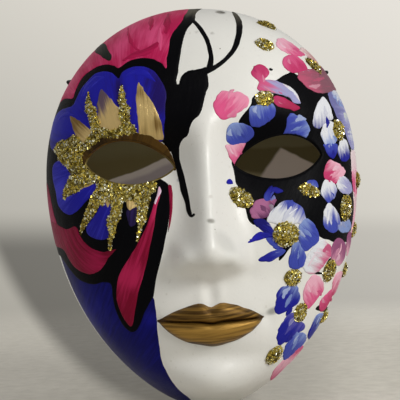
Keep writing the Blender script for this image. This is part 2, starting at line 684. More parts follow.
def build_shell():
    """Both faces of the wall with rounded openings, holes and rim, as one closed mesh."""
    eyes = [sheet_places(opening_loop(side, OPENING_EDGE)) for side in (-1, 1)]
    holes = [round_hole(tie_hole_centre(side), TIE_HOLE_R + HOLE_EDGE) for side in (-1, 1)]
    holes.append(round_hole(sheet_places([HANG_PLACE]), HANG_HOLE_R + HOLE_EDGE))
    coarse = SHELL_SPACING
    loops = [np.round(loop, 4) for loop in eyes + holes + [rim_loop(OPENING_EDGE, SHELL_SPACING)]]

    def sheet_mesh(*spacings):
        spots, faces = triangulate(np.round(shell_sheet(spacings[0], loops[:-1], *spacings[1:]), 4), loops)
        spots = np.round(spots, 4)
        return spots, outside_all(spots, faces, loops[:-1])

    outer_spots, outer_faces = sheet_mesh(coarse, coarse * 0.62)
    inner_spots, inner_faces = sheet_mesh(2 * coarse)
    outer_points = skin_sheet(outer_spots)
    lean = skin_normals(inner_spots)
    near = np.minimum(loop_distance(inner_spots, eyes[0]), loop_distance(inner_spots, eyes[1]))
    straight = smooth_step(1 - near / 12)[:, None]
    deep = -lean * (1 - straight) + np.array([0, 1.0, 0]) * straight / np.maximum(-lean[:, 1:2], 0.55)
    inner_points = soften(skin_sheet(inner_spots) + WALL * deep, inner_faces, 6)
    inner_points[:, 1] = np.minimum(inner_points[:, 1], -BACK_GAP)

    points = [outer_points, inner_points]
    faces = [outer_faces, inner_faces[:, ::-1] + len(outer_points)]
    looks = [np.zeros(len(outer_faces), int), np.ones(len(inner_faces), int)]
    total = len(outer_points) + len(inner_points)
    for (kind, look), loop in zip(SHELL_EDGES, loops):
        first, last = find_rows(outer_spots, loop), find_rows(inner_spots, loop)
        rings = wall_rings(outer_points[first], inner_points[last], kind)
        count = len(loop)
        rows = [first] + [np.arange(count) + total + k * count for k in range(len(rings))]
        rows.append(last + len(outer_points))
        points += rings
        total += count * len(rings)
        x, y = loop.T
        anticlockwise = ((np.roll(x, -1) - x) * (np.roll(y, -1) + y)).sum() < 0
        for step, (above, below) in enumerate(zip(rows[:-1], rows[1:])):
            quads = np.stack([above, below, np.roll(below, -1), np.roll(above, -1)], 1)
            if (kind == "rim") != anticlockwise:
                quads = quads[:, ::-1]
            faces.append(np.vstack([quads[:, [0, 1, 2]], quads[:, [0, 2, 3]]]))
            looks.append(np.full(2 * count, look if step < len(rows) - 2 or kind == "opening" else 1))
    points = np.vstack(points)
    shell = make_object("shell", points, np.vstack(faces))
    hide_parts("face_shell")
    for material in (WHITE_SATIN, PLASTER, GOLD_PAINT, BLACK_PAINT):
        shell.data.materials.append(material)
    shell.data.polygons.foreach_set("material_index", np.concatenate(looks).astype(np.int32))
    dress_shell(shell, points)


def soften(points, faces, rounds):
    """Evens out a mesh by neighbour averages, its edges kept."""
    pairs, rim = mesh_edges(faces)
    fixed = np.zeros((len(points), 1), bool)
    fixed[rim] = True
    for _ in range(rounds):
        total, number = np.zeros_like(points), np.zeros(len(points))
        for a, b in ((0, 1), (1, 0)):
            np.add.at(total, pairs[:, a], points[pairs[:, b]])
            np.add.at(number, pairs[:, a], 1)
        points = np.where(fixed, points, 0.5 * points + 0.5 * total / np.maximum(number, 1)[:, None])
    return points


# Smudges on the white: across, up, half length, half width, turn, strength and tone.
SMUDGES = [
    (1.0, 95.2, 1.7, 1.0, -10, 0.75, (104, 100, 88)), (7.0, 85.0, 6.5, 3.0, -50, 0.22, (150, 150, 146)),
    (30.0, 50.5, 3.2, 1.6, 15, 0.6, (84, 84, 80)), (6.5, 186.0, 0.9, 0.7, 0, 0.5, (150, 146, 136)),
    (-1.0, 187.0, 0.7, 0.6, 0, 0.4, (160, 156, 146)), (1.5, 106.5, 0.9, 0.8, 0, 0.35, (170, 160, 150)),
    (-12.5, 115.2, 1.2, 0.9, 40, 0.5, (70, 74, 120)), (24.0, 12.0, 5.0, 2.0, 30, 0.12, (150, 148, 140)),
    (12.0, 199.0, 2.3, 1.2, -5, 0.9, (84, 80, 70)),
]


def dress_shell(shell, points):
    """Smudges on the white, and the stroke places that the painted edges of the eye openings need."""
    smudge, tone = np.zeros(len(points)), np.tile((0.5, 0.5, 0.5, 1.0), (len(points), 1))
    for across, up, long, short, turn, strength, shade in SMUDGES:
        angle = math.radians(turn)
        x, z = points[:, 0] - across, points[:, 2] - up
        u, v = x * math.cos(angle) + z * math.sin(angle), z * math.cos(angle) - x * math.sin(angle)
        weight = strength * smooth_step(1.5 - np.hypot(u / long, v / short)) * (points[:, 1] < -15)
        tone[weight > smudge] = colour(*shade)
        smudge = np.maximum(smudge, weight)
    set_attribute(shell, "smudge", smudge, "FLOAT")
    set_attribute(shell, "smudge_tone", tone, "FLOAT_COLOR")
    low = points[:, 2] < EYE_LINE + 1 + 4 * np.abs(points[:, 0] + OPENING_X) / OPENING_HALF
    right = points[:, 0] > 0
    near = np.where(low[:, None], colour(120, 104, 52), colour(84, 58, 14))
    far = np.where(low[:, None], colour(176, 158, 92), colour(140, 104, 40))
    near, far = np.where(right[:, None], colour(7, 7, 8), near), np.where(right[:, None], colour(20, 20, 22), far)
    set_attribute(shell, "near", near, "FLOAT_COLOR")
    set_attribute(shell, "far", far, "FLOAT_COLOR")
    set_attribute(shell, "stroke", points, "FLOAT_VECTOR")
    set_attribute(shell, "share", np.full(len(points), 0.4), "FLOAT")


build_shell()


# ---------------------------------------------------------------- paint films
EYE_LOOPS = [sheet_places(opening_loop(side, 0.62)) for side in (-1, 1)]
FINENESS = 1.0
BURIED, EDGE_RING = 0.16, 0.32    # how deep a film's underside is, and its first ring of points from its edge
EDGE_SINK, EDGE_LOWEST = 0.22, -0.04    # how far a film's border is below its body, and the lowest it goes
STREAK_LIFT, LINE_LIFT = 0.33, 0.2    # how thick strokes over other films and thin black lines are


def spots_of(*numbers):
    """Places from their numbers in turn: across, up, across, up and so on."""
    return np.reshape(np.array(numbers, float), (-1, 2))


def ribbon(path, widths, steps=10):
    """The outline of a brush stroke along a path, with a width at each of its points."""
    path = np.asarray(path, float)
    at = np.linspace(0, len(path) - 1, steps * (len(path) - 1) + 1)
    ends = np.vstack([2 * path[0] - path[1], path, 2 * path[-1] - path[-2]])
    k = np.minimum(at.astype(int), len(path) - 2)
    line = curve_through(ends[k], ends[k + 1], ends[k + 2], ends[k + 3], (at - k)[:, None])
    half = np.interp(at, np.arange(len(path)), widths)[:, None] / 2
    run = unit(np.gradient(line, axis=0))
    aside = np.stack([-run[:, 1], run[:, 0]], 1)
    cap_start, cap_end = (line[end] + way * run[end] * half[end] * 0.8 for end, way in ((0, -1), (-1, 1)))
    return np.vstack([line + aside * half, cap_end, (line - aside * half)[::-1], cap_start])


def aim_of(angle):
    """The direction at an angle in degrees, seen from the front."""
    return np.array([math.cos(math.radians(angle)), math.sin(math.radians(angle))])


def stroke_places(sheet, stroke):
    """Distances along and across the brush strokes, in mm: straight at an angle, rays from or rings round a
    place."""
    kind, *rest = stroke
    if kind == "line":
        aim = aim_of(rest[0])
        return sheet @ aim, sheet @ (-aim[1], aim[0])
    away = sheet - sheet_places([rest])[0]
    radius, arc = np.hypot(*away.T), 25 * np.mod(np.arctan2(away[:, 1], away[:, 0]), 2 * math.pi)
    return (radius, arc) if kind == "ray" else (arc, radius)


def sheet_patch(loops, spacing):
    """A fine flat mesh inside the first loop and outside the others: places, triangles, which places are on
    the border and how far each is from it."""
    outer, holes = loops[0], loops[1:]
    places = lattice(outer.min(0), outer.max(0), spacing)
    places = places[inside(places, outer)]
    for loop in loops:
        places = places[loop_distance(places, loop) > EDGE_RING + 0.45 * spacing]
    for loop in loops:
        aside = -outwards(loop)
        if not inside(loop[:1] + 0.01 * aside[:1], outer)[0]:
            aside = -aside
        if loop is not outer and inside(loop[:1] + 0.01 * aside[:1], loop)[0]:
            aside = -aside
        ring = loop + EDGE_RING * aside
        ring = ring[inside(ring, outer)]
        for other in loops:
            ring = ring[loop_distance(ring, other) > 0.7 * EDGE_RING]
        places = np.vstack([places, ring])
    for hole in holes:
        places = places[~inside(places, hole)]
    spots, faces = triangulate(places, loops)
    faces = outside_all(spots, faces[inside(spots[faces].mean(1), outer)], holes)
    used, faces = np.unique(faces.ravel(), return_inverse=True)
    faces, spots = faces.reshape(-1, 3), spots[used]
    border = np.zeros(len(spots), bool)
    border[mesh_edges(faces)[1]] = True
    return spots, faces, border, np.min([loop_distance(spots, loop) for loop in loops], 0)


def closed_skin(spots, faces, border, rise):
    """A thin closed solid on the skin: its points, its triangles and the row of the place each point is at."""
    points, lean = skin_sheet(spots), skin_normals(spots)
    inner = np.flatnonzero(~border)
    under = np.arange(len(spots))
    under[inner] = len(spots) + np.arange(len(inner))
    solid = np.vstack([points + lean * rise[:, None], points[inner] - lean[inner] * BURIED])
    return solid, np.vstack([faces, under[faces][:, ::-1]]), np.concatenate([np.arange(len(spots)), inner])


def film_patch(points, near, far, stroke=("line", 90), share=0.3, thick=0.12, spacing=1.0, wobble=0.1,
               crown=0.0, ridge=0.02, margin=2.4, seed=0, curve=True, wave=3.5):
    """One brushed patch as a closed thin solid, with its colours and stroke places."""
    rng = np.random.default_rng(seed)
    spacing = spacing * FINENESS
    loop = (closed_curve if curve else even_loop)(points, 0.5 * spacing)
    loop = even_loop(sheet_places(loop, margin), 0.7 * spacing, wobble, rng, wave)
    loops = [loop]
    for eye in EYE_LOOPS:
        if ((loop > eye.min(0) - 2) & (loop < eye.max(0) + 2)).all(1).any() or inside(eye[:1], loop)[0]:
            loops.append(eye)
    spots, faces, border, gap = sheet_patch(loops, spacing)

    along, aside = stroke_places(spots, stroke)
    bristles = np.interp(aside + 0.5 * rng.random() + 400, np.arange(1200) * 0.9, rng.normal(0, 1, 1200))
    bristles = np.clip(bristles, -1.5, 1.5)
    rise = thick * smooth_step(0.35 + gap / 0.9) + crown * smooth_step(gap / 3.0)
    rise = rise + ridge * bristles * smooth_step(gap / 0.8)
    rise = rise + 0.6 * ridge * smooth_step(1 - np.abs(gap - 0.7) / 0.6)
    rise[border] = max(0.8 * thick - EDGE_SINK, EDGE_LOWEST)
    solid, triangles, rows = closed_skin(spots, faces, border, rise)
    front = skin_sheet(spots)[:, [0, 2]]
    level = share(front) if callable(share) else np.full(len(spots), float(share))
    strokes = np.stack([along + 37.0 * (seed % 50), aside, np.full(len(spots), seed * 0.37)], 1)
    return {"points": solid, "faces": triangles, "stroke": strokes[rows], "share": level[rows],
            "near": np.tile(near, (len(rows), 1)), "far": np.tile(far, (len(rows), 1))}


def streak(path, widths, near, far, stroke, share, seed, wobble=0.3):
    """A soft broad stroke over another film."""
    return film_patch(ribbon(path, widths), near, far, stroke, share, STREAK_LIFT, 0.8, wobble, seed=seed)


def thin_line(path, widths, tone, stroke, share, seed):
    """A black line."""
    return film_patch(ribbon(path, widths), BLACK, tone, stroke, share, LINE_LIFT, 0.6, 0.08, seed=seed)


def film(name, patches, material):
    """Joins patches into one painted piece."""
    start, faces = 0, []
    for patch in patches:
        faces.append(patch["faces"] + start)
        start += len(patch["points"])
    piece = make_object(name, np.vstack([p["points"] for p in patches]), np.vstack(faces))
    kinds = {"near": "FLOAT_COLOR", "far": "FLOAT_COLOR", "stroke": "FLOAT_VECTOR", "share": "FLOAT"}
    for key, kind in kinds.items():
        set_attribute(piece, key, np.concatenate([p[key] for p in patches]), kind)
    piece.data.materials.append(material)


def near_spots(base, *spots):
    """A share with a base value, changed round some places: across, up, reach, amount."""
    def level(front):
        total = np.full(len(front), float(base))
        for across, up, reach, amount in spots:
            total += amount * np.exp(-((front[:, 0] - across) ** 2 + (front[:, 1] - up) ** 2) / (2 * reach**2))
        return total
    return level


BLACK, SOFT_BLACK, WORN_BLACK = colour(4, 4, 7), colour(14, 14, 22), colour(86, 82, 70)
CRIMSON, ROSE = colour(188, 27, 83), colour(222, 80, 130)
DARK_CRIMSON, PALE_ROSE = colour(142, 16, 60), colour(230, 116, 152)
DEEP_RED, RED = colour(130, 9, 46), colour(188, 36, 86)
BLUE, BRIGHT_BLUE, DUSK_BLUE = colour(34, 32, 168), colour(66, 66, 204), colour(34, 22, 100)
NAVY, NAVY_LIGHT = colour(9, 9, 88), colour(20, 20, 126)
FLAT_GOLD, DARK_GOLD, PLUM = colour(226, 196, 132), colour(138, 106, 52), colour(112, 92, 108)

# The wing's outlines, seen from the front.
WING_TOP = spots_of(5,206, 0,198.5, -1,194.5, -2.8,191.7, -4.8,189.4, -6.7,185.6, -8.1,181, -9.2,175.6, -10.1,170.6,
    -11.4,165, -11.9,162.6, -11.2,160.8, -9.8,164.6, -7.6,166.7, -4.8,167.8, 0,168.2, 3,168.8, 3.4,165, 3.6,162,
    3.5,159, 2,156, 1,153, 0,149, -1.7,145.3, -4.8,142.8, -6.2,140, -7.6,136, -9.8,134.2, -11.4,131.6, -12.4,127.4,
    -14.2,126.6, -15.6,128.6, -16.6,128, -18.4,130.6, -20.5,133.6, -26,133, -36,130, -48,128, -60,130, -72,128,
    -82,130, -82,142, -76,156, -66,161, -62,166, -54,172, -46,174.5, -40,172.5, -34,175.5, -28,177, -20,175,
    -18,175, -16.6,181, -15.2,188, -12.6,193, -9.6,197.5, -8.5,206)
WING_FOOT = spots_of(-17.3,112.5, -17.5,105, -17.8,98, -19,92, -20.5,86, -22,80, -23.5,75, -25,70, -26,65, -27,60,
    -29,56.5, -31,53, -32.5,49.5, -34,46, -36.4,43, -39,42.6, -42,45.4, -44,49, -46,54, -47,60, -47.4,66, -51,67,
    -56,66, -61,67, -65,69.5, -69,74, -73,79, -79,83, -84,95, -84,115, -82,130, -72,136, -60,132, -50,122, -38,118,
    -24,117)
FOREWING = spots_of(-84,150, -70,158, -63.5,157.5, -62,160.5, -60,165, -58,167.8, -55,170.3, -50,172.5, -45,173,
    -42,172, -40,170.4, -38,171.4, -35,173.2, -29,174.7, -23,173.8, -20,172, -16.5,168.8, -15.6,174.4, -14.5,180,
    -13.1,185.6, -10.3,190, -7,195, -5.5,206, -40,206, -72,190)
HEART = spots_of(-39.5,165.3, -38,168, -35,170, -31,171, -27,170.4, -23,168.2, -20,165, -18,161, -17.1,156,
    -17.3,151, -18,146, -18.8,139, -20,134, -30,132, -45,129, -60,131, -72,131, -76,135, -76.4,140, -75.6,145,
    -74,149.6, -70,152.8, -63.5,154.3, -61.5,157, -59,161.6, -56,165, -53,168, -50,169.5, -46,169.7, -43,168.6,
    -41,166.6)
LOBE_OUTER = spots_of(-66,128, -74,126, -75,119, -73.6,112, -73,107, -71.5,103.6, -68.5,101, -65,100.5, -61,103,
    -58,106, -54,110, -51.5,115, -57,121)
LOBE_INNER = spots_of(-46,108, -50,106, -53,101, -56,97.4, -58,94.5, -57.8,91, -55,88.8, -51,87.8, -48,88.3,
    -45,90.5, -43.4,94, -42.8,99, -43.6,105)
CRESCENT = spots_of(-84,96, -78.5,97.5, -75,97, -72,94.8, -68,93.6, -64.5,95, -62.4,93.6, -61.5,90.4, -58.6,86.4,
    -55,83.8, -50,82.2, -46,83.2, -43.6,83.6, -45.6,81.2, -48,78.6, -50,75.4, -53,72.5, -57,71.2, -61,72, -65,74.2,
    -68,78, -70.5,82.5, -74,84, -84,86)
TEARDROP = spots_of(-22,111, -24,107, -25.6,103, -27.5,98, -30,92, -33,87, -36,82, -39,77.5, -41.5,74, -43.5,70,
    -44.6,65, -45,60, -44.2,55, -42.2,50, -40,46.4, -38.4,45.2, -37.3,46.6, -36.5,50, -35.5,55, -34.5,60, -33,65,
    -31.3,70, -29,78, -27.5,84, -26,90, -24.5,97, -23.3,103, -21.6,107.5)
CHEEK = spots_of(-84,90, -76,84, -70,79, -62,72, -54,70, -46,70, -42,60, -40,52, -37,48, -34,51, -31.6,56, -29.6,60,
    -28,60.4, -26.6,58.4, -26.2,54, -25.8,50, -25.7,45, -25.5,40, -25,35, -24.5,30, -23.5,26, -22,22.5, -20,18.5,
    -17.5,14.5, -14.5,11, -11.5,8, -9.5,3, -9,-6, -40,-6, -84,40)


def paint_wing():
    """The butterfly half: black grounds, then colour between the black outlines."""
    film("cheek_navy", [
        film_patch(CHEEK, NAVY, NAVY_LIGHT, ("line", 62), near_spots(0.3, (-60, 52, 12, 0.3), (-30, 30, 7, 0.2),
            (-76, 70, 8, -0.2), (-45, 22, 12, -0.2), (-20, 6, 8, -0.4), (-28, 50, 3, 0.4)), 0.08, 1.15, margin=17,
            seed=14),
    ], PAINT)
    film("wing_outline_upper", [
        film_patch(WING_TOP, BLACK, WORN_BLACK, ("line", 78), near_spots(-0.12, (-3, 202, 5, 1.0)), 0.14, seed=1),
    ], BLACK_PAINT)
    film("wing_outline_lower", [
        film_patch(WING_FOOT, BLACK, SOFT_BLACK, ("line", 70), 0.2, 0.14, seed=2),
    ], BLACK_PAINT)
    film("wing_upper_crimson", [
        film_patch(FOREWING, CRIMSON, ROSE, ("ray", -34, 130), near_spots(0.36, (-30, 190, 14, 0.25),
            (-12, 188, 5, -0.35), (-40, 178, 6, -0.1), (-66, 165, 8, 0.1), (-26, 177, 5, -0.2), (-45, 188, 5, -0.3),
            (-40, 183, 4, 0.3), (-22, 184, 4, 0.3)), 0.25, seed=3, ridge=0.025, wobble=0.2),
        streak(spots_of(-13.4,199, -14.6,193, -16,187), [2.0, 4.6, 2.0], DARK_CRIMSON, CRIMSON, ("line", 96), 0.5,
            54),
        streak(spots_of(-22.4,199.6, -22.8,194, -23.4,189), [1.4, 3.4, 1.4], DARK_CRIMSON, CRIMSON, ("line", 92),
            0.55, 55),
        streak(spots_of(-18.4,184, -21,180.6, -26,177.6, -32,176.4, -37,174.2), [1.4, 3.0, 4.2, 3.4, 1.4],
            DARK_CRIMSON, CRIMSON, ("ring", -28, 190), 0.55, 56),
        streak(spots_of(-34.4,193, -34,187, -32,181.6, -29,178.6), [1.2, 2.2, 2.4, 1.2], DARK_CRIMSON, CRIMSON,
            ("line", 100), 0.6, 57),
        streak(spots_of(-18.6,190, -19.2,184, -19,178), [1.2, 2.8, 1.2], ROSE, PALE_ROSE, ("line", 92), 0.3, 58),
    ], PAINT)
    film("wing_blotch", [
        film_patch(spots_of(-50,186.5, -46.4,185.6, -44.4,181, -42.6,177.6, -43.4,174.8, -46,175.6, -49,178.6,
            -52,182), colour(34, 40, 34), colour(70, 62, 56), ("line", 110), near_spots(0.25, (-52, 184, 3, 0.5)),
            0.34, seed=4),
    ], BLACK_PAINT)
    film("wing_heart_blue", [
        film_patch(HEART, DUSK_BLUE, BLUE, ("ray", -37, 118), near_spots(0.72, (-24, 163, 7, 0.15),
            (-52, 163, 7, 0.25), (-70, 146, 8, 0.1), (-44, 150, 8, -0.2), (-18, 152, 5, -0.6), (-21, 163, 5, -0.5),
            (-72, 134, 5, -0.3), (-41, 162, 4, -0.3)), 0.25, seed=5, wobble=0.2),
        streak(spots_of(-58,158, -55,162.6, -51,165.8, -46.4,166.2), [1.2, 3.4, 3.6, 1.0], BLUE, BRIGHT_BLUE,
            ("ring", -48, 155), 0.4, 51, 0.35),
        streak(spots_of(-36,166.2, -31,167.8, -26,166.4, -22,162.6), [1.0, 3.4, 3.4, 1.0], BLUE, BRIGHT_BLUE,
            ("ring", -30, 155), 0.25, 52, 0.35),
        streak(spots_of(-71,148, -67,150, -61,148.6), [1.0, 2.8, 1.0], BLUE, BRIGHT_BLUE, ("line", 10), 0.25, 53,
            0.35),
    ], PAINT)
    film("wing_lobes_blue", [
        film_patch(LOBE_OUTER, BLUE, BRIGHT_BLUE, ("ray", -45, 125), near_spots(0.3, (-70, 112, 4, 0.35),
            (-60, 106, 3, -0.2)), 0.25, seed=6),
        film_patch(LOBE_INNER, colour(34, 30, 150), BRIGHT_BLUE, ("ray", -40, 115), 0.3, 0.25, seed=7),
        film_patch(spots_of(-38.4,100.6, -35.4,103.6, -32,103.8, -31.4,99.4, -33.6,95, -37,94), colour(44, 32, 84),
            colour(20, 14, 34), ("line", 80), 0.45, 0.25, seed=8),
    ], PAINT)
    film("wing_crescent_crimson", [
        film_patch(CRESCENT, colour(118, 7, 42), colour(172, 28, 78), ("ring", -52, 100),
            near_spots(0.35, (-54, 77, 5, 0.3), (-72, 90, 6, 0.1), (-46, 82, 3, -0.3)), 0.26, seed=9, ridge=0.025),
        film_patch(spots_of(-84,117, -79.4,117, -77.6,113, -76.6,107, -75.4,101, -74,95.6, -77,92, -84,92),
            colour(170, 44, 88), DEEP_RED, ("line", 88), near_spots(0.25, (-79, 116, 5, 0.5)), 0.24, seed=10),
    ], PAINT)
    film("wing_teardrop_crimson", [
        film_patch(TEARDROP, DEEP_RED, RED, ("line", 68), near_spots(0.34, (-24, 103, 5, 0.5), (-38, 70, 6, 0.4),
            (-34, 60, 4, -0.3), (-40, 50, 4, -0.1)), 0.26, seed=11, ridge=0.025),
        film_patch(spots_of(-22.4,112.4, -23.6,108, -25,104.6, -24.2,103.6, -22.6,107, -21.2,110),
            colour(226, 180, 210), colour(246, 226, 240), ("line", 68), 0.5, 0.36, 0.7, 0.05, seed=12),
    ], PAINT)
    film("wing_seam_crimson", [
        film_patch(ribbon(spots_of(-17.2,112.4, -16.9,106, -17.2,100, -17.9,95, -18.9,90.5),
            [1.9, 1.7, 1.4, 0.9, 0.4]), DEEP_RED, RED, ("line", 80), 0.4, 0.28, 0.6, 0.05, seed=13),
    ], PAINT)
    film("antennae", [
        thin_line(spots_of(-2.4,193.6, 0.6,189.4, 3.2,184, 4.6,178.6, 5.2,173.4, 4.2,168.4),
            [2.0, 2.2, 2.3, 2.4, 2.6, 3.2], SOFT_BLACK, ("line", 100), 0.2, 15),
        thin_line(spots_of(1.6,166.4, 7,168.6, 12,172.2, 16.2,176.8, 18.8,182.4, 20.2,188, 20.4,193, 19.4,197.4,
            18.6,199.6), [3.6, 2.4, 2.3, 2.5, 2.9, 3.2, 3.3, 2.6, 1.2], WORN_BLACK, ("line", 60),
            near_spots(-0.12, (19.5, 199, 8, 0.75)), 16),
        thin_line(spots_of(-14.2,131, -13.4,125, -12.4,120, -11.4,115, -10.6,110, -9.5,105, -8.8,100.5, -7.9,97.9,
            -6.4,98.4), [5.0, 2.9, 2.9, 3.2, 3.3, 2.6, 2.2, 1.8, 1.0], SOFT_BLACK, ("line", 100), 0.2, 17),
    ], BLACK_PAINT)


def paint_gold():
    """Flat gold: leaves round the opening between the glitter rays, and the lips."""
    leaves = [
        (spots_of(-30,163, -28.6,161, -26.6,157.4, -24.4,153.6, -22.4,150, -20.8,146, -19.6,141, -19,134.5, -25,135,
            -30.6,135.4, -31.2,141, -31.6,148, -31.8,154, -31.2,160), ("line", 96), DARK_GOLD,
            near_spots(0.2, (-30, 158, 3, 0.5), (-21, 142, 3, 0.5), (-30, 138, 3, 0.3)), 21),
        (spots_of(-48.6,160.4, -46.4,158.8, -43.6,155.6, -41,152.2, -39.4,150, -37.6,146, -34.6,141.6, -34,137.6,
            -43,137.4, -51.6,137.6, -51.4,143, -50.6,148, -50.6,153.6), ("line", 112), PLUM,
            near_spots(0.1, (-49, 160, 6.5, 0.8), (-51, 150, 3, 0.4), (-40, 149, 4, -0.2)), 22),
        (spots_of(-64.6,149, -61,147, -57.6,144.6, -54,141.2, -51,138, -53,135, -58,134.6, -61.4,138.4, -63.4,143),
            ("line", 138), DARK_GOLD, near_spots(0.5, (-53.6, 137, 3, -0.6), (-62, 146, 3, 0.4)), 23),
        (spots_of(-69.6,107.4, -66,110, -60,112.2, -54,114.6, -50.6,117.4, -56,119.4, -62,114.6), ("line", 30),
            DARK_GOLD, 0.3, 24),
        (spots_of(-47.2,103, -45,106, -40.6,108.4, -38,112.4, -47,113.4, -49,109), ("line", 60), DARK_GOLD, 0.35,
            25),
        (spots_of(-37,101, -34,102.6, -31.6,106.4, -29.4,111.6, -37,112.4, -38.4,106), ("line", 80), DARK_GOLD, 0.3,
            26),
    ]
    film("gold_leaves", [
        film_patch(points, FLAT_GOLD, tone, stroke, share, 0.35, 0.7, 0.16, ridge=0.03, seed=seed, wave=2.2)
        for points, stroke, tone, share, seed in leaves
    ] + [
        film_patch(ribbon(spots_of(-14.4,120, -16.2,125, -19.8,130.2, -26,134.6, -36,136.6, -45,136, -52,132.8,
            -58.4,126.6, -60,121), [1.5, 2.8, 4.4, 5.2, 5.4, 5.4, 5.0, 4.0, 2.0]), colour(96, 68, 20),
            colour(48, 32, 6), ("ray", -37, 110), near_spots(0.45, (-22, 134, 4, -0.3), (-52, 134, 5, 0.3)), 0.4,
            0.7, 0.15, seed=27),
    ], GOLD_PAINT)
    across = np.linspace(-MOUTH_HALF - 0.6, MOUTH_HALF + 0.6, 61)
    top, _, foot = lip_lines(across)
    upper = np.stack([across, top + 0.5], 1)
    lower = np.stack([across, foot - 0.3], 1)[::-1]

    def lip_share(front):
        _, line, foot = lip_lines(front[:, 0])
        below = (line - front[:, 1]) / np.maximum(line - foot, 1)
        crease = np.exp(-(((front[:, 1] - line) / 0.9) ** 2))
        return 0.34 + 0.5 * crease + 0.34 * smooth_step((below - 0.62) / 0.4) + 0.26 * (below < 0)
    film("gold_lips", [
        film_patch(np.vstack([upper, lower]), colour(184, 142, 66), colour(70, 46, 8), ("line", 4), lip_share, 0.42,
            0.62, 0.12, ridge=0.03, seed=28, curve=False),
    ], GOLD_PAINT)


paint_wing()
paint_gold()


# ---------------------------------------------------------------- the flower half
PINK, PALE_PINK, ROSE_PINK = colour(216, 92, 138), colour(238, 178, 198), colour(196, 58, 108)
MAUVE, DEEP_MAUVE = colour(150, 84, 124), colour(98, 52, 92)
SKY, MID_BLUE, DEEP_BLUE = colour(134, 154, 208), colour(66, 78, 176), colour(32, 34, 146)
PETAL_WHITE, LAVENDER = colour(228, 230, 236), colour(164, 164, 208)
PALE_LAVENDER, VIOLET_BLUE, MAUVE_GREY = colour(208, 212, 222), colour(116, 116, 170), colour(134, 86, 100)

EYE_PATCH = spots_of(24,153, 28,156.5, 32,159.5, 36,161.5, 40,164, 44,165.5, 48,164, 50.5,160, 54,157.5, 60,156.6,
    66,158, 71,152, 74,144, 76,136, 75.6,130, 74.8,124, 74.6,116, 75.2,106, 75.8,98, 75,91, 73,85.4, 70.6,81.2,
    66,82.4, 62,82, 59.6,83, 56,84, 53,86, 50,89, 47.4,91.4, 42,95, 34,95.6, 28,93, 22.6,92, 20.4,92.6, 19,95,
    18,100, 16,109, 14.5,112.4, 14,115.6, 13.4,119, 12.8,122.6, 14,130, 17,137, 17,141.6, 20,146, 23,150)
# Dark strokes outside the eye patch.
DARK_STROKES = [
    spots_of(56.4,67, 58,72, 60.4,74.2, 62,71, 61.6,67.4, 59,65.4),
    spots_of(46.4,69.6, 50,69, 54,67.8, 56.4,66.6, 54,66.4, 49,67.4),
    spots_of(40.6,82, 39.4,84, 36.4,82, 34,78, 33.4,74.6, 35.6,76, 38.4,79.6),
    spots_of(65.4,86, 68,90.4, 71,92, 73.6,88, 72,84, 68.6,81.6),
    spots_of(52,49, 55,47.6, 58.6,46.6, 60.4,48.6, 57,49.4, 54,51),
    spots_of(66.4,57, 68.6,60.6, 71,62, 70.4,58, 68,54.4),
]

FACE_HALF = 71.0    # petals further out lie on the steep side, where short marks would be drawn out

